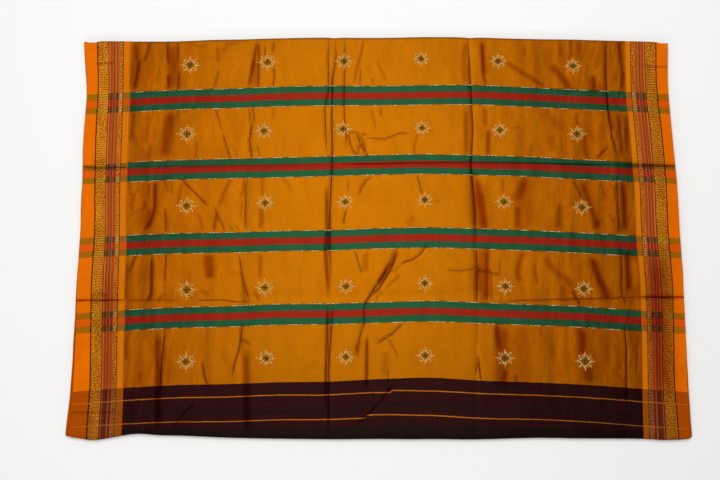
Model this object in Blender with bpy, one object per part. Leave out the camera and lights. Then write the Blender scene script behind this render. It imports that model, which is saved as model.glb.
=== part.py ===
"""A silk sari, folded in half three times and laid flat.

X runs across the cloth from selvedge to selvedge, Y along the stretch that shows, from the near
fold to the far fold, and Z up. The origin lies under the middle of the folded cloth, on the surface
that it rests on. Sizes are in metres.
"""

import math
from typing import NamedTuple

import bmesh
import bpy
from mathutils import Vector

# The whole cloth, and what folding it in half three times makes of it
CLOTH_LENGTH = 6.30
CLOTH_WIDTH = 1.174
HALVINGS = 3
LAYERS = 2**HALVINGS
PANEL_LENGTH = CLOTH_LENGTH / LAYERS

# Thicknesses
WALL = 0.0012
GAP = 0.0003
LOFT = 0.0006
STACK_HEIGHT = LAYERS * (WALL + GAP) + LOFT

# The two folds of the stretch that shows: how many layers the far one wraps, and the lips inside
FAR_FOLD_LAYERS = LAYERS // 2
FAR_LIP = 0.004
NEAR_LIP = 0.022
FOLD_STEPS = 6

# The grid that all three solids share
COLUMN_SPACING = 0.036
ROW_SPACING = 0.045

# The edges of the hidden layers
GROOVE = 0.002
FAN_POWER = 4

# The creases across the cloth
CROSS_REACH = 0.008

SMOOTH_UP_TO = math.radians(40)


class Crease(NamedTuple):
    """A crease down the cloth: half width, and X and depth at five stations from far to near."""

    name: str
    reach: float
    x: tuple
    depth: tuple


class WeftLine(NamedTuple):
    """A line across the cloth: its Y at the left selvedge, in the middle and at the right one."""

    left: float
    middle: float
    right: float

    def moved(self, distance):
        return WeftLine(*(y + distance for y in self))


class LayerEdge(NamedTuple):
    """How far a hidden layer sticks out past the top one at its corners, and stays back at the far end."""

    layer: int
    left_far: float
    left_near: float
    right_far: float
    right_near: float
    far_back: float


class Finish(NamedTuple):
    """The look of one piece."""

    name: str
    colour: tuple
    roughness: float
    metallic: float


# The X of the middle of the top stretch at the five stations: it lies a little askew
MIDDLE_LINE = (-0.0028, -0.0030, 0.0020, 0.0028, 0.0042)
STATIONS = len(MIDDLE_LINE)

CREASES = (
    Crease(
        "left_soft", 0.014,
        x=(-0.426, -0.429, -0.440, -0.428, -0.422), depth=(0.0010, 0.0008, 0.0012, 0.0018, 0.0014),
    ),
    Crease(
        "left_quarter", 0.009,
        x=(-0.257, -0.256, -0.265, -0.269, -0.254), depth=(0.0008, 0.0010, 0.0012, 0.0012, 0.0016),
    ),
    Crease(
        "middle", 0.006,
        x=(-0.086, -0.091, -0.098, -0.099, -0.100), depth=(0.0024, 0.0030, 0.0022, 0.0024, 0.0020),
    ),
    Crease(
        "slanting", 0.008,
        x=(0.038, 0.038, 0.042, -0.038, -0.043), depth=(0.0002, 0.0004, 0.0012, 0.0028, 0.0016),
    ),
    Crease(
        "right", 0.006,
        x=(0.183, 0.185, 0.190, 0.189, 0.186), depth=(0.0026, 0.0028, 0.0026, 0.0026, 0.0022),
    ),
    Crease(
        "right_soft", 0.016,
        x=(0.330, 0.330, 0.330, 0.335, 0.338), depth=(0.0004, 0.0004, 0.0008, 0.0014, 0.0012),
    ),
    Crease(
        "beside_border", 0.008,
        x=(0.458, 0.465, 0.470, 0.476, 0.469), depth=(0.0018, 0.0022, 0.0026, 0.0024, 0.0018),
    ),
)

FAR_EDGE = WeftLine(0.3880, 0.3955, 0.3880)
UPPER_CROSS = WeftLine(0.1310, 0.1410, 0.1330)
LOWER_CROSS = WeftLine(-0.1347, -0.1230, -0.1269)
WEFT_CHANGE = WeftLine(-0.3057, -0.2820, -0.3020)
NEAR_EDGE = WeftLine(-0.3905, -0.3945, -0.3955)
CROSS_CREASES = ((UPPER_CROSS, 0.0010), (LOWER_CROSS, 0.0010))

LAYER_EDGES = (
    LayerEdge(2, 0.0005, 0.0050, -0.0005, 0.0025, 0.0),
    LayerEdge(3, 0.0015, 0.0095, 0.0005, 0.0045, 0.0),
    LayerEdge(4, 0.0000, 0.0125, 0.0000, 0.0070, 0.0),
    LayerEdge(5, 0.0015, 0.0160, 0.0005, 0.0075, 0.0010),
    LayerEdge(6, 0.0005, 0.0145, -0.0005, 0.0055, 0.0020),
    LayerEdge(7, -0.0005, 0.0115, -0.0015, 0.0065, 0.0055),
    LayerEdge(8, -0.0010, 0.0095, -0.0010, 0.0040, 0.0035),
)

OCHRE_SILK = Finish("ochre_silk", (0.55, 0.17, 0.01, 1.0), 0.38, 0.15)
AUBERGINE_SILK = Finish("aubergine_silk", (0.035, 0.008, 0.010, 1.0), 0.42, 0.1)
SELVEDGE_SILK = Finish("selvedge_silk", (0.75, 0.19, 0.01, 1.0), 0.5, 0.05)


def clear_scene():
    for existing in list(bpy.data.objects):
        bpy.data.objects.remove(existing)


def at_station(values, share):
    """The value at this share of the way from far to near, on a smooth curve through the stations."""
    place = min(max(share, 0.0), 1.0) * (STATIONS - 1)
    start = min(int(place), STATIONS - 2)
    t = place - start
    here = values[start]
    there = values[start + 1]
    slope_here = (there - values[max(start - 1, 0)]) / 2
    slope_there = (values[min(start + 2, STATIONS - 1)] - here) / 2
    rise = there - here
    curve = 3 * rise - 2 * slope_here - slope_there
    bend = slope_here + slope_there - 2 * rise
    return here + t * (slope_here + t * (curve + t * bend))


def across(line, share):
    """The Y of a weft line at this share of the width, on the parabola through its three values."""
    left_part = (1 - 2 * share) * (1 - share)
    middle_part = 4 * share * (1 - share)
    right_part = share * (2 * share - 1)
    return line.left * left_part + line.middle * middle_part + line.right * right_part


def length_share(y):
    """The share of the way from the far fold to the near one."""
    return 0.5 - y / PANEL_LENGTH


def selvedges(y):
    """The X of the top stretch's left and right selvedges."""
    middle = at_station(MIDDLE_LINE, length_share(y))
    return middle - CLOTH_WIDTH / 2, middle + CLOTH_WIDTH / 2


def width_share(x, y):
    left, right = selvedges(y)
    return (x - left) / (right - left)


def dip(distance, reach):
    """The depth of a soft trough at this distance from its line, as a share of its deepest."""
    return 1 / (1 + (distance / reach) ** 2)


def top_height(x, y):
    """The height of the upper face: the stack, less its creases."""
    share = length_share(y)
    height = STACK_HEIGHT
    for crease in CREASES:
        distance = x - at_station(crease.x, share)
        height -= at_station(crease.depth, share) * dip(distance, crease.reach)
    for line, depth in CROSS_CREASES:
        distance = y - across(line, width_share(x, y))
        height -= depth * dip(distance, CROSS_REACH)
    return height


def with_even_steps(guides, spacing):
    """The guides, with as many more between each two as keep them no further apart than the spacing."""
    routes = [guides[0]]
    for start, end in zip(guides, guides[1:]):
        widest = max(abs(b - a) for a, b in zip(start, end))
        steps = math.ceil(widest / spacing)
        for step in range(1, steps + 1):
            routes.append(tuple(a + (b - a) * step / steps for a, b in zip(start, end)))
    return routes


def column_routes():
    """The X at the five stations of each column: selvedges, creases and even columns between them."""
    guides = [tuple(x - CLOTH_WIDTH / 2 for x in MIDDLE_LINE)]
    for crease in CREASES:
        for side in (-1, 0, 1):
            guides.append(tuple(x + side * crease.reach for x in crease.x))
    guides.append(tuple(x + CLOTH_WIDTH / 2 for x in MIDDLE_LINE))
    return with_even_steps(guides, COLUMN_SPACING)


def row_lines():
    """The lines across the ochre stretch, and those across the aubergine one, from far to near."""
    guides = [FAR_EDGE]
    for line, _ in CROSS_CREASES:
        guides += [line.moved(side * CROSS_REACH) for side in (1, 0, -1)]
    guides.append(WEFT_CHANGE.moved(GAP / 2))
    ochre = with_even_steps(guides, ROW_SPACING)
    aubergine = with_even_steps([WEFT_CHANGE.moved(-GAP / 2), NEAR_EDGE], ROW_SPACING)
    return [[WeftLine(*line) for line in lines] for lines in (ochre, aubergine)]


def far_radius(height):
    """The outer radius of the far fold, which wraps round half of the layers."""
    return (height * FAR_FOLD_LAYERS / LAYERS - GAP) / 2


def near_radius(height):
    """The outer radius of the near fold, which wraps round the whole stack."""
    return height / 2


def crossing(route, line):
    """Where a column meets a line across the cloth."""
    y = line.middle
    x = at_station(route, length_share(y))
    return x, across(line, width_share(x, y))


def turn_limits(route):
    """The Y at which a column turns down at the far fold, and at the near one."""
    far_x, far_y = crossing(route, FAR_EDGE)
    near_x, near_y = crossing(route, NEAR_EDGE)
    return far_y - far_radius(top_height(far_x, far_y)), near_y + near_radius(top_height(near_x, near_y))


def flat_point(route, line):
    """The point of the upper face on a column and a row, with the rows drawn in between the turns."""
    _, far_y = crossing(route, FAR_EDGE)
    _, near_y = crossing(route, NEAR_EDGE)
    _, row_y = crossing(route, line)
    far_limit, near_limit = turn_limits(route)
    y = near_limit + (far_limit - near_limit) * (row_y - near_y) / (far_y - near_y)
    x = at_station(route, length_share(y))
    return Vector((x, y, top_height(x, y)))


def turned(top, radius, outward, lip):
    """The points of a fold past its first one: half a circle down and round, then a lip inwards."""
    points = []
    for step in range(1, FOLD_STEPS + 1):
        angle = math.pi * step / FOLD_STEPS
        y = top.y + outward * radius * math.sin(angle)
        z = top.z - radius + radius * math.cos(angle)
        points.append(Vector((top.x, y, z)))
    points.append(Vector((top.x, top.y - outward * lip, top.z - 2 * radius)))
    return points


def normals_of(grid):
    """The direction out of the cloth at each point of a grid, from the points beside it."""
    normals = []
    for row, points in enumerate(grid):
        before = grid[max(row - 1, 0)]
        after = grid[min(row + 1, len(grid) - 1)]
        line = []
        for column in range(len(points)):
            left = points[max(column - 1, 0)]
            right = points[min(column + 1, len(points) - 1)]
            line.append((right - left).cross(before[column] - after[column]).normalized())
        normals.append(line)
    return normals


def moved_in(grid, normals, depth):
    return [
        [point - normal * depth for point, normal in zip(points, line)]
        for points, line in zip(grid, normals)
    ]


def add_grid(mesh, grid, facing_out):
    """Adds a grid's points and faces to the mesh, and returns its vertices in the same rows."""
    rows = [[mesh.verts.new(point) for point in points] for points in grid]
    for upper, lower in zip(rows, rows[1:]):
        for column in range(len(upper) - 1):
            corners = (upper[column], lower[column], lower[column + 1], upper[column + 1])
            mesh.faces.new(corners if facing_out else corners[::-1])
    return rows


def rim_of(rows):
    """What lies round the edge of a grid, in order."""
    right = [row[-1] for row in rows[1:-1]]
    left = [row[0] for row in rows[-2:0:-1]]
    return rows[0] + right + rows[-1][::-1] + left


def join_rings(mesh, upper, lower):
    for index, corner in enumerate(upper):
        following = (index + 1) % len(upper)
        mesh.faces.new((corner, upper[following], lower[following], lower[index]))


def material_of(finish):
    material = bpy.data.materials.new(finish.name)
    material.use_nodes = True
    shader = material.node_tree.nodes["Principled BSDF"]
    shader.inputs["Base Color"].default_value = finish.colour
    shader.inputs["Roughness"].default_value = finish.roughness
    shader.inputs["Metallic"].default_value = finish.metallic
    material.diffuse_color = finish.colour
    return material


def add_object(name, mesh, finish):
    data = bpy.data.meshes.new(name)
    mesh.to_mesh(data)
    mesh.free()
    data.materials.append(material_of(finish))
    data.shade_smooth()
    data.set_sharp_from_angle(angle=SMOOTH_UP_TO)
    piece = bpy.data.objects.new(name, data)
    bpy.context.scene.collection.objects.link(piece)


def add_wall(name, outer, normals, finish):
    """A stretch of cloth: its outer points, the same points moved in by the wall, and its rim."""
    mesh = bmesh.new()
    outside = add_grid(mesh, outer, facing_out=True)
    inside = add_grid(mesh, moved_in(outer, normals, WALL), facing_out=False)
    join_rings(mesh, rim_of(outside), rim_of(inside))
    add_object(name, mesh, finish)


def sides_out(edge, y):
    """How far a hidden layer sticks out past the top one at the left and at the right selvedge."""
    fan = min(max(length_share(y), 0.0), 1.0) ** FAN_POWER
    left = edge.left_far + (edge.left_near - edge.left_far) * fan
    right = edge.right_far + (edge.right_near - edge.right_far) * fan
    return left, right


def inside_fold(radius, rise):
    """How far behind a fold's edge a layer within it ends, at this height from the fold's centre."""
    room = radius * math.cos(math.pi / (2 * FOLD_STEPS)) - WALL - 2 * GAP
    return radius - math.sqrt(max(room * room - rise * rise, 0.0))


def far_inset(edge, level, height):
    radius = far_radius(height)
    if edge.layer < FAR_FOLD_LAYERS:
        return inside_fold(radius, level * height - (height - radius))
    if edge.layer == FAR_FOLD_LAYERS:
        return radius + FAR_LIP + 2 * GAP
    return edge.far_back


def near_inset(edge, level, height):
    radius = near_radius(height)
    if edge.layer == LAYERS:
        return radius + NEAR_LIP + 2 * GAP
    return inside_fold(radius, level * height - radius)


class RimPoint(NamedTuple):
    """A point on the rim of the upper face, with its column's route and heights at the two folds."""

    place: Vector
    route: tuple
    far_height: float
    near_height: float


def insets(edge, level, rim_point):
    """How far inside the top layer's left, right, far and near edges one hidden layer ends."""
    left_out, right_out = sides_out(edge, rim_point.place.y)
    far = far_inset(edge, level, rim_point.far_height)
    near = near_inset(edge, level, rim_point.near_height)
    return -left_out, -right_out, far, near


def layer_ring(rim, edges, level, groove):
    """A ring round the hidden layers, at the edges of one layer or in the groove between two."""
    ring = []
    for rim_point in rim:
        ends = [insets(edge, level, rim_point) for edge in edges]
        left_in, right_in, far_in, near_in = (max(values) + groove for values in zip(*ends))
        _, far_y = crossing(rim_point.route, FAR_EDGE)
        _, near_y = crossing(rim_point.route, NEAR_EDGE)
        far_limit, near_limit = turn_limits(rim_point.route)
        place = rim_point.place
        share = (place.y - near_limit) / (far_limit - near_limit)
        y = near_y + near_in + (far_y - far_in - near_y - near_in) * share
        left, right = selvedges(place.y)
        x = left + left_in + (right - right_in - left - left_in) * width_share(place.x, place.y)
        ring.append(Vector((x, y, level * place.z)))
    return ring


def add_hidden_layers(flat_rows, flat_normals, routes):
    """The layers below: a face that follows the cloth above, ridged sides and a flat underside."""
    mesh = bmesh.new()
    above = rim_of(add_grid(mesh, moved_in(flat_rows, flat_normals, WALL + GAP), facing_out=True))
    columns = [(route, far.z, near.z) for route, far, near in zip(routes, flat_rows[0], flat_rows[-1])]
    rim_columns = rim_of([columns for _ in flat_rows])
    rim = [RimPoint(place, *column) for place, column in zip(rim_of(flat_rows), rim_columns)]
    for edge, following in zip(LAYER_EDGES, LAYER_EDGES[1:] + LAYER_EDGES[-1:]):
        middle = (LAYERS - edge.layer + 0.5) / LAYERS
        foot = (LAYERS - edge.layer) / LAYERS
        groove = GROOVE if edge.layer < LAYERS else GAP
        for level, edges, pulled_in in ((middle, (edge,), 0.0), (foot, (edge, following), groove)):
            below = [mesh.verts.new(place) for place in layer_ring(rim, edges, level, pulled_in)]
            join_rings(mesh, above, below)
            above = below
    mesh.faces.new(above)
    add_object("hidden_layers", mesh, SELVEDGE_SILK)


def build_sari():
    routes = column_routes()
    ochre_lines, aubergine_lines = row_lines()
    flat_rows = [[flat_point(route, line) for route in routes] for line in ochre_lines + aubergine_lines]
    far_turns = [turned(point, far_radius(point.z), 1, FAR_LIP) for point in flat_rows[0]]
    near_turns = [turned(point, near_radius(point.z), -1, NEAR_LIP) for point in flat_rows[-1]]
    far_rows = [list(points) for points in zip(*far_turns)][::-1]
    near_rows = [list(points) for points in zip(*near_turns)]
    rows = far_rows + flat_rows + near_rows
    normals = normals_of(rows)
    change = len(far_rows) + len(ochre_lines)
    add_wall("ochre_stretch", rows[:change], normals[:change], OCHRE_SILK)
    add_wall("aubergine_stretch", rows[change:], normals[change:], AUBERGINE_SILK)
    flat = slice(len(far_rows), change)
    past_change = slice(change + 1, len(rows) - len(near_rows))
    under_rows = rows[flat] + rows[past_change]
    under_normals = normals[flat] + normals[past_change]
    add_hidden_layers(under_rows, under_normals, routes)


clear_scene()
build_sari()
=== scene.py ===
import math
from typing import NamedTuple

import bmesh
import bpy
import numpy as np
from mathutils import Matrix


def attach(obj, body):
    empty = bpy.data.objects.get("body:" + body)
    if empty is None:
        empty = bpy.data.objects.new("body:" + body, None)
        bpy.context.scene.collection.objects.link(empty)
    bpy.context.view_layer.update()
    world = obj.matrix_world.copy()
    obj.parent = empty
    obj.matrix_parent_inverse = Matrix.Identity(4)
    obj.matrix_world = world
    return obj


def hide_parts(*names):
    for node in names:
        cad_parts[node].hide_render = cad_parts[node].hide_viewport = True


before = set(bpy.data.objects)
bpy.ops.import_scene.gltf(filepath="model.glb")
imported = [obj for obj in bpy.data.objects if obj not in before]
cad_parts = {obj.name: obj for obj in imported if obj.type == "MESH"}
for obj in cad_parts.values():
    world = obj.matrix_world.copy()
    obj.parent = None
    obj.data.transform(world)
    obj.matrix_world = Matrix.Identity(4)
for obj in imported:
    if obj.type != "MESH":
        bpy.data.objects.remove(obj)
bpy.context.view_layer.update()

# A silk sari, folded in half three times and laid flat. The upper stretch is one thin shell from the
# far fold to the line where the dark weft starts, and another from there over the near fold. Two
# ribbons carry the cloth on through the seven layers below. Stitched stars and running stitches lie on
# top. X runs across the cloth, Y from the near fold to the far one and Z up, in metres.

MM = 0.001

# The whole cloth, as in the part's source
CLOTH_LENGTH = 6.30
CLOTH_WIDTH = 1.174
LAYERS = 8
PANEL_LENGTH = CLOTH_LENGTH / LAYERS
STACK_HEIGHT = 0.0126

# How far the cloth runs on under the far and the near fold
FAR_LIP = 0.004
NEAR_LIP = 0.022

# The shells, and the share of its faces that a shell keeps on its hidden inner side
SHELL = 0.0007
INNER_SHARE = 0.06
SMOOTH_ANGLE = math.radians(50)
FLOOR_Z = -0.0002

# The grids: fine for the upper stretch, and coarse for the ribbons below it
COLUMN_SPACING = 0.0031
ROW_SPACING = 0.0037
RIBBON_COLUMN_SPACING = 0.036
RIBBON_ROW_SPACING = 0.030
TURN_STEPS = 9

# The woven pattern across the cloth: how far from its selvedge each thing starts or ends, and how far in
# the ramp of colours reaches
ZARI_EDGE = 0.0245
WIDE_ZARI = (ZARI_EDGE, 0.0443)
NARROW_ZARI = (0.0662, 0.0730)
DASHES = (0.0728, 0.0752)
DASH_LINE = 0.0740
BORDER_WIDTH = 0.0883
RAMP_REACH = 0.1

# The pattern along the cloth, as V: how far past the line where the weft changes
FAR_EDGE_V = 0.6783
NEAR_EDGE_V = -0.1116
BANDED = (0.004, 0.680)
BAND_REPEAT = 0.1444
FIRST_BAND = 0.1278
RED_HALF = 0.0068
GREEN_HALF = 0.0193
PINSTRIPES = (-0.0234, -0.0705)
PINSTRIPE_HALF = 0.0009
DARKER_WEFTS = (-0.0585, -0.0465)
# Past about this V, along a wavy line, the cloth is painted darker and greener: painted shade and reflection
# where it slopes into the near fold
NEAR_FOLD_SHADE_START = -0.0875

# Where painted shade turns the cloth redder towards its sides and painted light makes it paler in the
# far right corner, and how softly
LEFT_SIDE = (0.19 * CLOTH_WIDTH, 0.24 * CLOTH_WIDTH)
RIGHT_SIDE = (0.77 * CLOTH_WIDTH, 0.33 * CLOTH_WIDTH)
FAR_RIGHT = (0.84 * CLOTH_WIDTH, 0.12 * CLOTH_WIDTH)

# Threads: how far apart they lie, and how soft an edge between two colours is
WEFT_PITCH = 0.0011
WARP_PITCH = 0.0013
ZARI_RIB_PITCH = 0.0046
DASH_PITCH = 0.0064
EDGE_BLUR = 0.0006

# The camera: nearly overhead, a little on the near side
CAMERA_DISTANCE = 1.96
CAMERA_ELEVATION = math.radians(82)
AIM = (-0.0368, -0.0150, 0.0126)
LENS = 50
SENSOR = 36

# How bright the surroundings are
SKY = 0.28


class Crease(NamedTuple):
    """A broad crease down the cloth: half width, and X and depth at even stations from far to near.

    Where its depth is below 0 it is a soft ridge."""

    reach: float
    x: tuple
    depth: tuple


class WeftLine(NamedTuple):
    """A line across the cloth: its Y at the left selvedge, in the middle and at the right one.

    Its waves are how much nearer it lies than that smooth line, in mm, at even steps across. Where a fine
    crease swallows a little cloth it jumps: at this share of the width, this far before it and after it."""

    left: float
    middle: float
    right: float
    waves: tuple = (0, 0)
    jump: tuple = (0, 0, 0)


class LayerEdge(NamedTuple):
    """How far a hidden layer sticks out past the top one at its four corners."""

    left_far: float
    left_near: float
    right_far: float
    right_near: float


class Mark(NamedTuple):
    """A fine crease, in mm: half width, depth, darkness of its painted line and painted shade, route and
    lean.

    One that leans is wider on its right side, or on its left one if its lean is below 0."""

    half_width: float
    depth: float
    line: float
    shade: float
    route: tuple
    lean: float = 0


class Bulge(NamedTuple):
    """Where a fold's edge bows out or in: the X of its middle, its half width and how far along Y."""

    x: float
    half_width: float
    out: float


class Stripe(NamedTuple):
    """A warp stripe of the border: where it ends, and its colour over each of the four wefts."""

    end: float
    over_ochre: tuple
    over_green: tuple
    over_red: tuple
    over_aubergine: tuple


# From left to right: a soft one, four along old folds, and two soft ones
CREASES = (
    Crease(0.014, x=(-0.426, -0.429, -0.440, -0.428, -0.422),
           depth=(0.0003, 0.0002, -0.0005, -0.0005, 0.0002)),
    Crease(0.009, x=(-0.257, -0.256, -0.265, -0.269, -0.254), depth=(0.0004, 0.0005, 0.0006, 0.0006, 0.0008)),
    Crease(0.005, x=(-0.086, -0.091, -0.098, -0.099, -0.100), depth=(0.0004, 0.0005, 0.0005, 0.0005, 0.0004)),
    Crease(0.008, x=(0.038, 0.038, 0.042, -0.038, -0.043), depth=(0.0001, 0.0002, 0.0004, 0.0007, 0.0006)),
    Crease(0.005, x=(0.183, 0.185, 0.190, 0.189, 0.186), depth=(0.0005, 0.0005, 0.0005, 0.0005, 0.0005)),
    Crease(0.016, x=(0.330, 0.330, 0.330, 0.335, 0.338), depth=(0.0002, 0.0002, 0.0003, 0.0006, 0.0006)),
    Crease(0.012, x=(0.458, 0.465, 0.470, 0.476, 0.469), depth=(-0.0005, -0.0006, -0.0003, -0.0003, -0.0002)),
)

# Lines down the cloth, as X at even stations
LEFT_SELVEDGE = (-0.5930, -0.5835, -0.5865, -0.5850, -0.5850, -0.5875, -0.5865, -0.5875, -0.5900)
LEFT_ZARI = (-0.5650, -0.5600, -0.5610, -0.5595, -0.5565, -0.5585, -0.5565, -0.5540, -0.5570)
LEFT_FIELD = (-0.4985, -0.4975, -0.4965, -0.4975, -0.4950, -0.4940, -0.4930, -0.4915, -0.4920)
RIGHT_FIELD = (0.4970, 0.4955, 0.5000, 0.5050, 0.5050, 0.5090, 0.5085, 0.5060, 0.5045)
RIGHT_DASHES = tuple(x + 0.0108 for x in RIGHT_FIELD)
RIGHT_ZARI = (0.5585, 0.5565, 0.5630, 0.5670, 0.5670, 0.5710, 0.5690, 0.5665, 0.5705)
RIGHT_SELVEDGE = (0.5840, 0.5805, 0.5845, 0.5895, 0.5910, 0.5930, 0.5930, 0.5920, 0.5920)

# Lines across the cloth, and how far along one, as a share of the width, a jump still moves it
JUMP_REACH = 0.06
FAR_EDGE = WeftLine(0.3880, 0.3955, 0.3880, (-3, 0, 2, 0, -2, -3, -2, -4, -4, -2, -2, -1, -1))
BAND_4 = WeftLine(0.2568, 0.2782, 0.2587, (0, 0, 0, 2, 1, 1, 2, 0, -2, 0, 1, 1, 1))
UPPER_CROSS = WeftLine(0.1310, 0.1410, 0.1330)
BAND_3 = WeftLine(0.1162, 0.1366, 0.1181, (1, 1, 2, 3, 4, 3, 1, -1, 0, 0, 2, 2, 2))
BAND_2 = WeftLine(-0.0304, -0.0110, -0.0286, (1, 1, 2, 4, 4, 4, 1, -1, 0, 1, 2, 3, 3))
LOWER_CROSS = WeftLine(-0.1347, -0.1230, -0.1269)
BAND_1 = WeftLine(-0.1766, -0.1551, -0.1746, (2, 2, 2, 4, 3, 4, 2, -1, 1, 2, 2, 4, 4))
WEFT_CHANGE = WeftLine(-0.3083, -0.2829, -0.3059, (1, 1, 2, 5, 5, 6, 2, -1, 3, 3, 3, 4, 4))
UPPER_PINSTRIPE = WeftLine(-0.3316, -0.3063, -0.3293, (2, 2, 3, 6, 6, 8, 3, 1, 4, 4, 4, 5, 5),
                           (0.517, -2.0, 1.5))
LOWER_PINSTRIPE = WeftLine(-0.3777, -0.3534, -0.3754, (0, 0, 2, 6, 6, 7, 0, 0, 4, 3, 3, 5, 5),
                           (0.477, -3.7, 1.8))
NEAR_EDGE = WeftLine(-0.3905, -0.3945, -0.3955, (4, 4, 0, 3, 3, 5, 4, 5, 4, 0, 2, 2, 2))

# The broad creases across the cloth, with their depth, and the half width of both
CROSS_CREASES = ((UPPER_CROSS, 0.0008), (LOWER_CROSS, 0.0004))
CROSS_REACH = 0.008

# Lines across the cloth and the V that is woven there, from near to far
WOVEN_LINES = (
    (NEAR_EDGE, NEAR_EDGE_V),
    (LOWER_PINSTRIPE, PINSTRIPES[1]),
    (UPPER_PINSTRIPE, PINSTRIPES[0]),
    (WEFT_CHANGE, 0.0),
    (BAND_1, FIRST_BAND),
    (BAND_2, FIRST_BAND + BAND_REPEAT),
    (BAND_3, FIRST_BAND + 2 * BAND_REPEAT),
    (BAND_4, FIRST_BAND + 3 * BAND_REPEAT),
    (FAR_EDGE, FAR_EDGE_V),
)

# Where the edge of a fold bows in or out by itself
NEAR_BULGES = (
    Bulge(-0.548, 0.030, -0.0055),
    Bulge(-0.465, 0.035, 0.0058),
    Bulge(-0.200, 0.060, -0.0015),
    Bulge(0.110, 0.050, 0.0012),
    Bulge(0.300, 0.060, -0.0012),
    Bulge(0.550, 0.040, -0.0030),
)
FAR_BULGES = (
    Bulge(-0.578, 0.012, -0.0045),
    Bulge(-0.350, 0.050, 0.0012),
    Bulge(-0.090, 0.012, -0.0012),
    Bulge(0.185, 0.014, -0.0014),
    Bulge(0.575, 0.014, -0.0030),
)

# The hidden layers, counted from the top, which fan out towards the near end
LAYER_EDGES = {
    2: LayerEdge(0.0005, 0.0050, -0.0005, 0.0025),
    3: LayerEdge(0.0015, 0.0095, 0.0005, 0.0045),
    4: LayerEdge(0.0000, 0.0090, 0.0000, 0.0050),
    5: LayerEdge(0.0015, 0.0100, 0.0005, 0.0060),
    6: LayerEdge(0.0005, 0.0125, -0.0005, 0.0070),
    7: LayerEdge(-0.0005, 0.0110, -0.0015, 0.0065),
    8: LayerEdge(-0.0010, 0.0095, -0.0010, 0.0040),
}
FAN_POWER = 4

# The waves of their selvedges: how high, how close together, and how far on in each layer
LAYER_WAVES = ((0.0007, 23, 2.1), (0.0004, 71, 1.3))

# How far the far ends of the fifth and sixth layers, and the fold of the lowest, stay back from the edge
FAR_BACK = {5: 0.0010, 6: 0.0020, 8: 0.0035}

# The fine creases: each a dent with painted shade round it and, where its line is above 0, a painted dark
# line along it. Rows whose depth is 0 are painted shade alone
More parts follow.
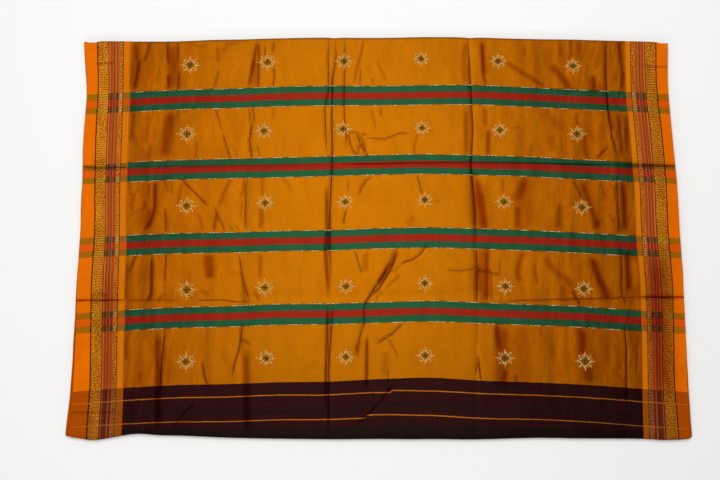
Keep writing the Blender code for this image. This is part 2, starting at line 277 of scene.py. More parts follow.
MARKS = tuple(Mark(*row) for row in (
    # The middle fold
    (2.4, 0.7, 1, 0.15, ((-87, 400), (-85, 360), (-91, 315), (-93, 250), (-92, 150), (-96, 45), (-96, -40),
                         (-93, -100))),
    (2.4, 0.7, 0.95, 0.15, ((-89, -135), (-97, -260), (-98, -400))),
    (2.4, 0.6, 0.8, 0.15, ((-99, 400), (-101, 360), (-99, 295), (-107, 250), (-104, 175), (-100, 150))),
    (4.5, 0.4, 0.3, 0.8, ((-104, 105), (-102, 5), (-105, -40), (-97, -135)), 0.2),
    (3, 0.7, 0.75, 0.6, ((-99, -140), (-104, -330))),
    (2.2, 0.5, 0.75, 0.15, ((-67, 400), (-69, 255), (-63, 165))),
    (3, 0.4, 0.3, 0.35, ((-29, 400), (-33, 370), (-45, 325), (-49, 295))),
    (2, 0.3, 0.5, 0.1, ((-35, 335), (-37, 295))),
    # The right fold
    (2.6, 0.7, 1, 0.2, ((181, 400), (188, 205), (183, 135), (190, 45), (190, -35))),
    (2.4, 0.6, 0.85, 0.2, ((190, -25), (192, -65), (190, -145))),
    (2, 0.3, 0.35, 0.1, ((190, -170), (191, -220))),
    (2.2, 0.5, 0.9, 0.2, ((191, -240), (196, -290))),
    (2.5, 0.4, 0.3, 0.5, ((191, -250), (186, -275))),
    (6, 0.4, 0, 0.45, ((177, 395), (172, 350), (174, 295))),
    (5, 0.4, 0, 0.6, ((175, 255), (175, 150))),
    (4, 0.5, 0.1, 0.75, ((209, 395), (212, 315), (219, 290))),
    (5, 0.4, 0, 0.5, ((213, 255), (214, 210))),
    (5, 0.5, 0.1, 0.75, ((220, 210), (217, 150))),
    (6, 0.4, 0, 0.4, ((197, 110), (200, 65))),
    (8, 0.4, 0, 0.6, ((202, 85), (210, -5)), -0.3),
    (5, 0.5, 0.1, 0.55, ((214, -25), (212, -60), (210, -140))),
    (12, 0.3, 0, 0.65, ((203, -20), (203, -150))),
    (2, 0.3, 0.5, 0.1, ((219, -70), (220, -140))),
    (5, 0.4, 0, 0.8, ((229, -175), (230, -200), (235, -230)), -0.3),
    (10, 0.2, 0, 0.55, ((187, 135), (189, 0))),
    (10, 0.2, 0, 0.4, ((189, -60), (190, -120))),
    (15, 0.3, 0, 0.75, ((238, -175), (236, -310))),
    (18, 0.2, 0, 0.4, ((275, -170), (275, -310))),
    (14, 0.2, 0, 0.45, ((291, 115), (287, -5))),
    (8, 0, 0, 0.4, ((209, 395), (214, 315))),
    (12, 0, 0, 0.4, ((203, 105), (208, 0))),
    # Beside the right border
    (2.6, 0.7, 1, 0.25, ((459, 400), (456, 300), (458, 250), (464, 195), (475, 145))),
    (2.4, 0.5, 0.8, 0.2, ((471, 115), (471, -5))),
    (5, 0.5, 0.1, 0.9, ((484, 400), (488, 350), (491, 320), (487, 280))),
    (4, 0.4, 0.1, 0.8, ((477, 245), (482, 190), (483, 150))),
    (4, 0.4, 0, 0.75, ((494, 245), (493, 155))),
    (4, 0.3, 0, 0.7, ((461, 250), (468, 200))),
    (6, 0.7, 0.2, 0.95, ((482, 110), (484, -5)), 0.2),
    (6, 0.7, 0.2, 0.9, ((484, -30), (486, -120)), 0.4),
    (2.2, 0.5, 0.8, 0.2, ((474, -30), (473, -125), (480, -145))),
    (3, 0.7, 1, 0.4, ((475, -175), (477, -230), (474, -340))),
    (4, 0.4, 0, 0.5, ((433, 320), (432, 285))),
    (3, 0.3, 0, 0.3, ((467, 390), (468, 345))),
    (2.5, 0.3, 0.45, 0.2, ((473, 35), (477, 0))),
    (3, 0.3, 0, 0.4, ((503, -185), (493, -295))),
    # The far row
    (4.5, 0.4, 0.1, 0.6, ((-479, 355), (-489, 285))),
    (4, 0.3, 0, 0.45, ((-492, 390), (-485, 345))),
    (3.6, 0.4, 0, 0.7, ((-460, 390), (-471, 345))),
    (3, 0.3, 0.1, 0.6, ((-426, 390), (-423, 340))),
    (4, 0.4, 0.1, 0.65, ((-422, 325), (-421, 285))),
    (12, 0.3, 0, 0.6, ((-414, 390), (-411, 285))),
    (2.6, 0.3, 0.1, 0.5, ((-404, 390), (-403, 345))),
    (2.6, 0.4, 0.3, 0.7, ((-400, 330), (-401, 285))),
    (3, 0.3, 0, 0.3, ((-373, 385), (-359, 376), (-345, 382))),
    (4, 0.4, 0, 0.45, ((-325, 380), (-322, 345))),
    (2, 0.3, 0.4, 0.3, ((-320, 330), (-329, 290))),
    (4, 0.3, 0, 0.35, ((-275, 390), (-303, 382), (-319, 365))),
    (4, 0.5, 0.3, 0.75, ((-243, 395), (-261, 290))),
    (2.6, 0.4, 0.3, 0.65, ((-240, 390), (-241, 285))),
    (8, 0.3, 0, 0.35, ((-248, 355), (-247, 290))),
    (2, 0.3, 0.6, 0.2, ((-228, 380), (-228, 355))),
    (2.4, 0.3, 0.5, 0.35, ((-210, 390), (-212, 365))),
    (2.4, 0.3, 0.6, 0.3, ((-212, 345), (-209, 320), (-211, 290))),
    (3, 0.3, 0, 0.35, ((-5, 355), (19, 300))),
    (3, 0.2, 0, 0.35, ((-13, 315), (-11, 295))),
    (4, 0.3, 0, 0.3, ((296, 385), (295, 355))),
    (5.5, 0.5, 0, 0.65, ((251, 353), (275, 334), (340, 292))),
    (8, 0.5, 0, 0.75, ((345, 345), (380, 300), (389, 280))),
    (4, 0.3, 0, 0.4, ((367, 390), (368, 355))),
    (4, 0.3, 0.2, 0.5, ((388, 395), (388, 350))),
    (3.5, 0.3, 0, 0.4, ((407, 390), (406, 360))),
    (9, 0.3, 0, 0.5, ((424, 320), (441, 280))),
    (12, 0, 0, 0.4, ((-488, 390), (-489, 285))),
    # The second row
    (4.5, 0.3, 0.1, 0.45, ((-488, 245), (-494, 180))),
    (4, 0.3, 0, 0.35, ((-460, 245), (-462, 175))),
    (4, 0.3, 0, 0.5, ((-452, 180), (-457, 145))),
    (12, 0.7, 0, 0.8, ((-416, 250), (-425, 145))),
    (3, 0.3, 0, 0.55, ((-400, 250), (-400, 230))),
    (2, 0.3, 0.45, 0.2, ((-361, 185), (-364, 145))),
    (2.2, 0.3, 0.65, 0.2, ((-326, 250), (-316, 220))),
    (2, 0.2, 0.3, 0.15, ((-320, 230), (-312, 205))),
    (2.2, 0.3, 0.6, 0.2, ((-311, 200), (-293, 145))),
    (3, 0.2, 0, 0.3, ((-285, 170), (-281, 145))),
    (2.4, 0.3, 0.1, 0.5, ((-259, 255), (-256, 220))),
    (3, 0.3, 0.2, 0.5, ((-251, 255), (-248, 220))),
    (2.8, 0.5, 0.8, 0.35, ((-254, 225), (-254, 200), (-257, 185), (-251, 145))),
    (2.2, 0.3, 0.5, 0.2, ((-241, 175), (-235, 150))),
    (2.4, 0.3, 0, 0.4, ((-211, 255), (-210, 230))),
    (2.2, 0.3, 0.65, 0.2, ((-61, 210), (-57, 180), (-51, 165), (-41, 150))),
    (2.2, 0.3, 0.5, 0.3, ((-39, 180), (-41, 150))),
    (2.4, 0.4, 0.8, 0.2, ((-43, 200), (-37, 180), (-19, 150))),
    (2, 0.3, 0.55, 0.1, ((-35, 195), (-27, 175), (-25, 155))),
    (2, 0.2, 0.5, 0.1, ((-59, 204), (-21, 196))),
    (2.2, 0.3, 0.6, 0.15, ((-25, 190), (13, 188), (43, 200), (63, 200))),
    (2, 0.2, 0.3, 0.2, ((-13, 250), (-5, 205))),
    (2.6, 0.3, 0.4, 0.4, ((5, 255), (5, 235))),
    (3, 0.3, 0, 0.4, ((79, 200), (72, 175), (70, 150))),
    (2, 0.2, 0.35, 0.1, ((262, 210), (282, 212))),
    (10, 0.4, 0, 0.35, ((329, 245), (352, 222), (377, 208))),
    (8, 0.4, 0, 0.45, ((343, 200), (346, 160))),
    (4, 0.3, 0, 0.3, ((305, 180), (300, 150))),
    (4, 0.3, 0, 0.5, ((396, 245), (397, 210))),
    (6, 0.4, 0, 0.7, ((408, 200), (413, 145))),
    (2.4, 0.4, 0.75, 0.2, ((456, 172), (431, 147))),
    # The middle row
    (3.5, 0.3, 0, 0.5, ((-493, 100), (-490, 70))),
    (3, 0.3, 0, 0.4, ((-471, 93), (-483, 75), (-488, 55), (-481, 37))),
    (3, 0.3, 0, 0.35, ((-461, 67), (-462, 49), (-491, 31))),
    (4, 0.5, 0.2, 0.8, ((-442, 110), (-441, 53), (-444, 33), (-453, 13), (-468, 0))),
    (6, 0.3, 0, 0.35, ((-452, 50), (-453, 5))),
    (3, 0.3, 0, 0.4, ((-456, 100), (-455, 70))),
    (2, 0.2, 0.35, 0.1, ((-426, 110), (-416, 80))),
    (2, 0.2, 0.3, 0.1, ((-408, 105), (-408, 75))),
    (3.2, 0.3, 0, 0.5, ((-391, 100), (-395, 55))),
    (2.4, 0.5, 0.75, 0.25, ((-391, 107), (-336, 53))),
    (2.2, 0.4, 0.75, 0.15, ((-421, 50), (-417, 0))),
    (4, 0.3, 0, 0.45, ((-356, 40), (-345, 0))),
    (4.5, 0.4, 0.1, 0.5, ((-290, 115), (-307, 77), (-316, 47))),
    (2.2, 0.3, 0.55, 0.15, ((-324, 53), (-318, 35), (-300, 0))),
    (4, 0.4, 0.1, 0.65, ((-318, 45), (-325, 0))),
    (2.2, 0.3, 0.5, 0.2, ((-264, 115), (-271, 70))),
    (2, 0.2, 0.35, 0.1, ((-269, 60), (-271, 20))),
    (2.4, 0.4, 0.75, 0.2, ((-258, 110), (-262, 93), (-262, 5))),
    (3.4, 0.3, 0, 0.5, ((-231, 115), (-230, 70))),
    (5, 0.4, 0, 0.65, ((-232, 55), (-231, 20), (-233, 5))),
    (3, 0.2, 0, 0.35, ((-193, 111), (-181, 99), (-171, 81))),
    (2, 0.2, 0.4, 0.1, ((-294, 15), (-284, 0))),
    (2, 0.2, 0.4, 0.1, ((-282, 17), (-274, 3))),
    (2.4, 0.3, 0.6, 0.2, ((-13, 113), (-25, 103), (-33, 91), (-39, 73))),
    (2, 0.2, 0.3, 0.2, ((-59, 105), (-62, 80))),
    (2.6, 0.3, 0.7, 0.3, ((-64, 50), (-70, 15))),
    (2.2, 0.3, 0.6, 0.15, ((76, 115), (87, 75))),
    (2, 0.2, 0.35, 0.1, ((103, 63), (123, 63))),
    (7, 0.2, 0, 0.3, ((71, 33), (54, 13))),
    (2, 0.2, 0.35, 0.1, ((246, 110), (247, 80))),
    (9, 0.4, 0, 0.55, ((293, 115), (282, 85), (267, 60))),
    (6, 0.4, 0, 0.6, ((271, 55), (269, 5)), 0.5),
    (8, 0.4, 0, 0.5, ((361, 60), (354, 5))),
    (3, 0.4, 0.5, 0.4, ((384, 107), (399, 75), (403, 61))),
    (7, 0.6, 0.1, 0.7, ((404, 107), (407, 85), (418, 55), (432, 3))),
    (4, 0.3, 0, 0.4, ((437, 101), (450, 65))),
    (2.2, 0.2, 0.4, 0.1, ((455, 101), (468, 83))),
    (2.2, 0.2, 0.4, 0.1, ((453, 39), (464, 19))),
    (8, 0.3, 0, 0.45, ((443, 29), (422, 3))),
    (15, 0, 0, 0.4, ((-455, 110), (-459, 0))),
    # The fourth row
    (4, 0.3, 0, 0.65, ((-473, -40), (-489, -80))),
    (2.4, 0.3, 0.5, 0.3, ((-492, -55), (-493, -135))),
    (4, 0.6, 0.3, 0.95, ((-444, -40), (-443, -120), (-452, -142))),
    (2.2, 0.4, 0.8, 0.15, ((-416, -40), (-417, -100))),
    (2, 0.2, 0.4, 0.1, ((-417, -100), (-416, -135))),
    (2, 0.2, 0.45, 0.15, ((-420, -121), (-433, -137))),
    (11, 0.5, 0, 0.8, ((-332, -40), (-334, -60), (-328, -95))),
    (5, 0.3, 0, 0.4, ((-348, -113), (-330, -125))),
    (2.4, 0.4, 0.75, 0.2, ((-274, -40), (-265, -95), (-251, -135))),
    (2, 0.3, 0.35, 0.1, ((-271, -80), (-260, -140))),
    (4.4, 0.4, 0, 0.55, ((-231, -40), (-232, -95))),
    (4, 0.3, 0, 0.4, ((-243, -115), (-231, -137))),
    (2.4, 0.3, 0.6, 0.15, ((-47, -35), (-33, -82))),
    (2.2, 0.3, 0.1, 0.4, ((-29, -40), (-29, -80))),
    (2.2, 0.3, 0.1, 0.4, ((-23, -35), (-23, -80))),
    (6, 0.5, 0.5, 0.6, ((38, -29), (24, -60), (-2, -107))),
    (2.8, 0.5, 0.9, 0.4, ((26, -54), (-25, -137), (-29, -148))),
    (2.4, 0.5, 0.9, 0.2, ((36, -39), (24, -72), (0, -111), (-13, -125))),
    (2.4, 0.4, 0.7, 0.2, ((-25, -128), (-29, -150), (-29, -190))),
    (2.4, 0.5, 0.85, 0.2, ((96, -23), (81, -43), (67, -53), (51, -58), (41, -66))),
    (2, 0.2, 0.3, 0.1, ((43, -64), (26, -80))),
    (2.2, 0.2, 0.4, 0.15, ((43, -82), (14, -109))),
    (2.2, 0.3, 0.55, 0.1, ((131, -74), (158, -76), (190, -70))),
    (2, 0.2, 0.4, 0.1, ((-8, -137), (-2, -125), (8, -115))),
    (2.4, 0.4, 0.6, 0.15, ((190, -70), (201, -76), (240, -84))),
    (2.2, 0.2, 0.4, 0.1, ((237, -50), (236, -90))),
    (2.2, 0.2, 0.4, 0.1, ((238, -110), (239, -140))),
    (6, 0.5, 0.1, 0.6, ((286, -35), (276, -58), (271, -78), (277, -102))),
    (2.6, 0.3, 0.1, 0.5, ((303, -60), (310, -105))),
    (6, 0.4, 0, 0.5, ((325, -41), (334, -64), (353, -84), (372, -98), (380, -117))),
    (7, 0.3, 0, 0.35, ((359, -100), (362, -135))),
    (8, 0.8, 0.1, 0.6, ((415, -43), (431, -94), (455, -141))),
    (3.5, 0.4, 0.6, 0.6, ((376, -113), (392, -144))),
    (10, 0, 0, 0.35, ((412, -40), (440, -140))),
    # The near row
    (4, 0.3, 0, 0.55, ((-484, -190), (-489, -220), (-488, -255))),
    (7, 0.8, 0.1, 0.9, ((-430, -180), (-424, -395)), 0.2),
    (2.6, 0.6, 0.9, 0.3, ((-414, -185), (-420, -275), (-419, -310))),
    (4, 0.3, 0, 0.28, ((-396, -205), (-403, -235))),
    (4, 0.3, 0, 0.35, ((-405, -260), (-407, -300))),
    (2.6, 0.4, 0.75, 0.35, ((-341, -252), (-337, -277), (-329, -298))),
    (2, 0.2, 0, 0.3, ((-333, -185), (-334, -220))),
    (2.8, 0.6, 0.9, 0.3, ((-264, -175), (-270, -226), (-278, -252), (-283, -281))),
    (2.4, 0.3, 0.2, 0.6, ((-269, -206), (-247, -220))),
    (8, 0.4, 0.1, 0.7, ((-257, -220), (-252, -395))),
    (4, 0.3, 0, 0.4, ((-460, -270), (-463, -300))),
    (2.4, 0.4, 0.7, 0.35, ((-29, -175), (-46, -237))),
    (3.4, 0.3, 0.1, 0.5, ((-37, -210), (-43, -245))),
    (4, 0.7, 0.5, 0.85, ((-23, -200), (-25, -310))),
    (2.4, 0.4, 0.8, 0.15, ((48, -177), (25, -199), (-6, -218))),
    (2.6, 0.3, 0.1, 0.35, ((17, -206), (40, -247))),
    (6, 0.3, 0, 0.38, ((13, -230), (13, -260), (9, -280))),
    (2, 0.2, 0.45, 0.1, ((17, -265), (17, -290))),
    (5, 0.4, 0, 0.55, ((244, -268), (238, -294))),
    (2, 0.3, 0.65, 0.1, ((263, -275), (265, -295))),
    (3, 0.3, 0, 0.4, ((312, -185), (315, -205))),
    (8, 0.2, 0, 0.28, ((341, -185), (339, -250))),
    (9, 0.6, 0, 0.5, ((391, -180), (394, -210), (393, -245))),
    (9, 0.5, 0, 0.45, ((402, -260), (407, -295))),
    (13, 0, 0, 0.45, ((395, -180), (401, -300))),
    (4, 0.3, 0, 0.35, ((444, -215), (441, -260))),
    (5, 0.3, 0, 0.4, ((466, -205), (462, -270))),
    (2.4, 0.5, 0.8, 0.2, ((29, -292), (2, -329), (-44, -374))),
    (2.2, 0.4, 0.7, 0.1, ((-351, -329), (-372, -347), (-398, -383))),
    (2, 0.2, 0.4, 0.1, ((-12, -305), (-10, -335))),
    # Across the cloth
    (3.5, 0.5, 0.7, 0.45, ((-595, 133), (-560, 129), (-490, 131))),
    (2.4, 0.4, 0.45, 0.1, ((-500, 131), (-75, 137))),
    (2.4, 0.5, 0.8, 0.15, ((-115, 137), (180, 141), (520, 135))),
    (5, 0.5, 0.7, 0.6, ((480, 135), (600, 133))),
    (2.2, 0.3, 0.55, 0.1, ((-570, 344), (-530, 344))),
    (2.2, 0.3, 0.5, 0.1, ((530, 338), (590, 336))),
    (2.6, 0.5, 1, 0.25, ((-610, -133), (-490, -133))),
    (2.2, 0.4, 0.45, 0.1, ((-495, -133), (-385, -133))),
    (2.2, 0.4, 0.65, 0.1, ((-355, -133), (-300, -133), (-270, -137), (-245, -135))),
    (2.2, 0.4, 0.7, 0.1, ((230, -135), (515, -127))),
    (3.5, 0.5, 1, 0.5, ((500, -127), (605, -127))),
    (5, 0.3, 0, 0.4, ((-560, -123), (-525, -123))),
    (5, 0.3, 0, 0.3, ((-570, 141), (-535, 141))),
    (2.2, 0.4, 0.4, 0.1, ((-605, -349), (-490, -347))),
    # Where the light falls off over the borders
    (24, 0, 0, 0.7, ((543, -20), (546, -340))),
    (45, 0, 0, 0.14, ((560, 440), (560, -440))),
    (22, 0, 0, 0.35, ((-528, -60), (-526, -340))),
))

# How far from a fine crease the painted dark line along it starts to fade and is gone, and its half width
LINE_NEAR = 0.0036
LINE_GONE = 0.0048
LINE_HALF = 0.0018

# A fine crease fades in over this share of its length at each end. Its dent and painted shade have at least
# this half width, and the dent has this share of the depth in the table
TAPER = 0.18
LEAST_SHADE_REACH = 0.0028
MARK_DEPTH = 0.45

# The painted shade in the broad creases, and how deep a crease is where that shade is full
BROAD_SHADE = 0.40
BROAD_SHADE_DEPTH = 0.0024

# How high the fine and the wide unevenness of the upper face are
FINE_RIPPLES = 0.00007
WIDE_RIPPLES = 0.00022

# The stars: the middle of each, in rows from far to near
STAR_ROWS = (
    ((-0.378, 0.340), (-0.223, 0.346), (-0.069, 0.348), (0.086, 0.353), (0.241, 0.348), (0.391, 0.338)),
    ((-0.381, 0.198), (-0.228, 0.204), (-0.071, 0.208), (0.087, 0.210), (0.242, 0.206), (0.395, 0.198)),
    ((-0.378, 0.053), (-0.224, 0.059), (-0.066, 0.061), (0.091, 0.065), (0.247, 0.061), (0.400, 0.050)),
    ((-0.374, -0.113), (-0.222, -0.109), (-0.064, -0.106), (0.090, -0.100), (0.246, -0.106),
     (0.399, -0.111)),
    ((-0.372, -0.252), (-0.218, -0.245), (-0.064, -0.243), (0.089, -0.240), (0.243, -0.245),
     (0.397, -0.251)),
)

# A star is less high than wide, sizes differ by this share, and each stitch is this far astray
STAR_HEIGHT = 0.93
STAR_UNEVEN = 0.07
ASTRAY = 0.0006

# Stitches in a quarter of the star, in mm: its dark core, the green diamond and the broken ring round it
CORE = (((-1.4, 0.0), (1.4, 0.0)), ((-1.0, 1.1), (1.7, 1.1)), ((-0.4, 2.2), (0.9, 2.2)))
DIAMOND = tuple(((-0.2, y), (8.4 - y, y)) for y in (0.7, 2.0, 3.3, 4.6, 5.9, 7.1))
RING = (
    ((-1.0, 9.3), (1.5, 9.9)), ((1.4, 8.2), (3.6, 9.4)), ((2.9, 7.0), (5.0, 7.9)),
    ((4.3, 5.5), (6.6, 6.5)), ((5.8, 4.1), (8.0, 4.9)), ((7.0, 2.5), (9.4, 3.3)),
    ((8.3, 1.0), (10.2, 1.4)), ((1.8, 10.8), (3.4, 11.5)), ((5.0, 8.8), (6.8, 9.8)),
    ((7.6, 7.0), (9.2, 7.9)), ((10.2, 2.6), (11.6, 3.4)),
)

# Its points and spikes
POINTS = (
    ((7.4, 9.8), (9.4, 11.9)), ((9.4, 8.4), (11.4, 9.6)), ((10.3, 10.8), (12.2, 12.6)),
    ((4.6, 12.2), (5.8, 13.2)), ((12.0, 5.2), (13.2, 6.2)),
)
SPIKES = (
    ((-1.5, 11.2), (-0.5, 15.4)), ((1.5, 11.2), (0.5, 15.4)), ((0.0, 11.0), (0.0, 14.0)),
    ((0.0, 14.8), (0.0, 20.4)), ((-2.9, 12.8), (-2.1, 14.4)), ((2.9, 12.8), (2.1, 14.4)),
)

# The running stitches along the bands: where they start and end, how much later some start, their mean
# length and pitch, how far out from the green they lie, their width and how far they stand up
RUN_START = -0.4935
RUN_END = 0.473
RUN_SHIFT = 0.006
RUN_LENGTH = 0.0250
RUN_PITCH = 0.0385
RUN_OUT = 0.0008
RUN_WIDTH = 0.0012
RUN_LIFT = 0.0004

# How many sections a short and a long stitch have, how high its middle lies, as a share of its height,
# and how far along it its map counts one
STAR_SECTIONS = 5
RUN_SECTIONS = 9
STITCH_SEAT = 0.35
THREAD_RUN = 0.01

# Colours of thread and cloth, as light is measured
ORANGE = (0.715, 0.138, 0.0008)
BRIGHT_ORANGE = (0.600, 0.150, 0.003)
OLIVE_GOLD = (0.330, 0.112, 0.003)
OLIVE_BROWN = (0.260, 0.094, 0.008)
FLAME = (0.650, 0.092, 0.0025)
EMBER = (0.500, 0.072, 0.005)
RUST = (0.365, 0.060, 0.001)
DARK_RUST = (0.270, 0.058, 0.003)
LINE_BROWN = (0.120, 0.030, 0.001)
LINE_DARK = (0.055, 0.014, 0.002)
GOLD = (0.430, 0.130, 0.0035)
GOLD_OVER_GREEN = (0.340, 0.145, 0.005)
GOLD_OVER_RED = (0.410, 0.105, 0.004)
GOLD_OVER_DARK = (0.330, 0.100, 0.004)
THIN_GOLD = (0.370, 0.112, 0.004)
THIN_GOLD_OVER_GREEN = (0.300, 0.150, 0.022)
THIN_GOLD_OVER_DARK = (0.190, 0.062, 0.008)
ROSE = (0.500, 0.170, 0.045)
ROSE_BROWN = (0.400, 0.105, 0.026)
ROSE_DARK = (0.220, 0.065, 0.018)
ROSE_PINK = (0.380, 0.080, 0.024)
RED_STRIPE = (0.400, 0.038, 0.005)
RED_ORANGE = (0.420, 0.048, 0.005)
MAROON = (0.120, 0.025, 0.010)
CRIMSON = (0.320, 0.017, 0.008)
PLUM = (0.165, 0.009, 0.007)
OLIVE = (0.190, 0.060, 0.002)
LEAF = (0.050, 0.078, 0.020)
OLIVE_RED = (0.160, 0.022, 0.006)
OLIVE_DARK = (0.055, 0.021, 0.006)
OCHRE = (0.234, 0.0700, 0.0008)
GREEN = (0.0115, 0.063, 0.0255)
RED = (0.200, 0.0125, 0.0050)
AUBERGINE = (0.0230, 0.0049, 0.0048)
# The darker wefts' own colour, also used as the painted shade and reflection near the near fold
DARK_WEFT_AND_FOLD_SHADE = (0.0085, 0.0060, 0.0045)
RIM_DARK = (0.030, 0.018, 0.004)
PINSTRIPE = (0.470, 0.135, 0.008)
CREAM = (0.790, 0.570, 0.230)
PEACH = (0.740, 0.370, 0.090)
PALE = (0.720, 0.600, 0.300)
THREAD_SHADE = (0.430, 0.215, 0.022)
PALE_SHADE = (0.160, 0.110, 0.020)
STAR_GREEN = (0.190, 0.140, 0.003)
STAR_LEAF = (0.090, 0.105, 0.008)
STAR_DARK = (0.060, 0.034, 0.001)
STAR_BLACK = (0.020, 0.012, 0.001)
FLOOR_WHITE = (0.86, 0.86, 0.85)

# What the cloth's colour is multiplied by: over the low and the high of the gold figure; then painted shade
# and light: shade towards the sides and where it is rumpled, light at the far right, and shade at the right
# of the dark end, in a crease and on its line
FIGURE_LOW = (0.42, 0.30, 0.15)
FIGURE_HIGH = (1.55, 1.84, 3.60)
SIDE_SHADE_HUE = (1.15, 0.88, 1.0)
RUMPLE_SHADE = (0.68, 0.50, 0.50)
FAR_RIGHT_LIGHT = (1.16, 1.22, 1.0)
DARK_RIGHT_SHADE = (0.66, 0.85, 0.85)
CREASE_SHADE = (0.46, 0.20, 0.24)
CREASE_LINE_SHADE = (0.20, 0.020, 0.06)

# The border's stripes from the selvedge inwards, and last the field
STRIPES = (
    Stripe(0.0220, ORANGE, OLIVE_GOLD, FLAME, RUST),
    Stripe(ZARI_EDGE, LINE_BROWN, LINE_DARK, LINE_BROWN, LINE_DARK),
    Stripe(WIDE_ZARI[1], GOLD, GOLD_OVER_GREEN, GOLD_OVER_RED, GOLD_OVER_DARK),
    Stripe(0.0463, LINE_BROWN, LINE_DARK, LINE_BROWN, LINE_DARK),
    Stripe(0.0482, ROSE, ROSE_DARK, ROSE_PINK, ROSE_DARK),
    Stripe(0.0530, RED_STRIPE, MAROON, CRIMSON, PLUM),
    Stripe(0.0546, ROSE_BROWN, ROSE_DARK, ROSE_PINK, OLIVE_DARK),
    Stripe(0.0582, OLIVE, LEAF, OLIVE_RED, OLIVE_DARK),
    Stripe(0.0602, ROSE_BROWN, ROSE_DARK, ROSE_PINK, ROSE_DARK),
    Stripe(0.0645, RED_ORANGE, MAROON, CRIMSON, PLUM),
    Stripe(NARROW_ZARI[0], ROSE_BROWN, ROSE_DARK, ROSE_PINK, ROSE_DARK),
    Stripe(NARROW_ZARI[1], THIN_GOLD, THIN_GOLD_OVER_GREEN, THIN_GOLD, THIN_GOLD_OVER_DARK),
    Stripe(0.0750, LINE_BROWN, LINE_DARK, LINE_BROWN, LINE_DARK),
    Stripe(0.0860, BRIGHT_ORANGE, OLIVE_BROWN, EMBER, DARK_RUST),
    Stripe(BORDER_WIDTH, THIN_GOLD, OLIVE_BROWN, EMBER, DARK_RUST),
    Stripe(CLOTH_WIDTH / 2, OCHRE, GREEN, RED, AUBERGINE),
)

# The parts of a star: the piece, its stitches, their width, how far they stand up, and their thread
STAR_PARTS = (
    ("star_centres", DIAMOND, 0.0017, 0.0004, ("green thread", STAR_DARK, STAR_GREEN, STAR_LEAF)),
    ("star_cores", CORE, 0.0015, 0.0006, ("dark thread", STAR_DARK, STAR_BLACK)),
    ("star_rings", RING, 0.0018, 0.0005, ("cream thread", CREAM, THREAD_SHADE)),
    ("star_points", POINTS, 0.0016, 0.0004, ("pale gold thread", CREAM, THREAD_SHADE)),
    ("star_spikes", SPIKES, 0.0018, 0.0004, ("peach thread", PEACH, THREAD_SHADE)),
)


# Places on the cloth

def at_station(values, share):
    """Values at a share of the way along, on a smooth curve through even stations."""
    values = np.asarray(values, float)
    last = len(values) - 1
    place = np.clip(share, 0, 1) * last
    start = np.minimum(place.astype(int), last - 1)
    t = place - start

    def pick(station):
        station = np.clip(station, 0, last)
        return values[station] if values.ndim == 1 else np.take_along_axis(values, station, axis=0)

    here, there = pick(start), pick(start + 1)
    slope_here = (there - pick(start - 1)) / 2
    slope_there = (pick(start + 2) - here) / 2
    rise = there - here
    return here + t * (slope_here + t * (3 * rise - 2 * slope_here - slope_there
                                         + t * (slope_here + slope_there - 2 * rise)))


def length_share(y):
    """The share of the way from the far fold to the near one."""
    return 0.5 - y / PANEL_LENGTH


def across(line, share):
    """The Y of a weft line at this share of the width: a parabola through three values, and its waves."""
    smooth = line.left * (1 - 2 * share) * (1 - share) + line.right * share * (2 * share - 1)
    smooth += line.middle * 4 * share * (1 - share)
    place, before, after = line.jump
    jump = np.where(share < place, before, after) * np.clip(1 - np.abs(share - place) / JUMP_REACH, 0, 1)
    return smooth + MM * (jump - at_station(line.waves, np.asarray(share)))


def width_share(x, y):
    share = length_share(y)
    left = at_station(LEFT_SELVEDGE, share)
    return (x - left) / (at_station(RIGHT_SELVEDGE, share) - left)


def woven_across(x, y):
    """The U that is woven at a place: even between the selvedges, the zari and the field's edges."""
    share = length_share(y)
    lines = (LEFT_SELVEDGE, LEFT_ZARI, LEFT_FIELD, RIGHT_FIELD, RIGHT_DASHES, RIGHT_ZARI, RIGHT_SELVEDGE)
    places = [at_station(line, share) for line in lines]
    woven = [0, ZARI_EDGE, BORDER_WIDTH]
    woven += [CLOTH_WIDTH - inset for inset in (BORDER_WIDTH, DASH_LINE, ZARI_EDGE, 0)]
    u = np.zeros_like(x)
    for start, end, u_start, u_end in zip(places, places[1:], woven, woven[1:]):
        u += (u_end - u_start) * np.clip((x - start) / (end - start), 0, 1)
    return u


def bowed(bulges, x):
    return sum(bulge.out * np.exp(-((x - bulge.x) / bulge.half_width) ** 2) for bulge in bulges)


def dip(distance, reach):
    """The depth of a soft trough at this distance from its line, as a share of its deepest."""
    return 1 / (1 + (distance / reach) ** 2)


def broad_height(x, y):
    """The height of the upper face with its broad creases alone, which all the layers share."""
    share = length_share(y)
    height = np.full_like(x, STACK_HEIGHT)
    for crease in CREASES:
        height -= at_station(crease.depth, share) * dip(x - at_station(crease.x, share), crease.reach)
    for line, depth in CROSS_CREASES:
        height -= depth * dip(y - across(line, width_share(x, y)), CROSS_REACH)
    return height


def from_route(route, x, y):
    """The signed distance from a crease's route, and the share of its length, at each place."""
    nearest = np.full_like(x, np.inf)
    signed = np.zeros_like(x)
    along = np.zeros_like(x)
    steps = [math.dist(a, b) for a, b in zip(route, route[1:])]
    walked = 0.0
    for (ax, ay), (bx, by), step in zip(route, route[1:], steps):
        dx, dy = (bx - ax) / step, (by - ay) / step
        t = np.clip((x - ax) * dx + (y - ay) * dy, 0, step)
        away_x, away_y = x - ax - t * dx, y - ay - t * dy
        distance = np.hypot(away_x, away_y)
        closer = distance < nearest
        side = np.where(dx * away_y - dy * away_x < 0, -1.0, 1.0)
        nearest = np.where(closer, distance, nearest)
        signed = np.where(closer, side * distance, signed)
        along = np.where(closer, (walked + t) / sum(steps), along)
        walked += step
    return signed, along


class Surface(NamedTuple):
    """The upper face at many places: its height, and the painted crease shade and line that its colour reads.
    """

    height: np.ndarray
    line: np.ndarray
    tone: np.ndarray
    shade: np.ndarray


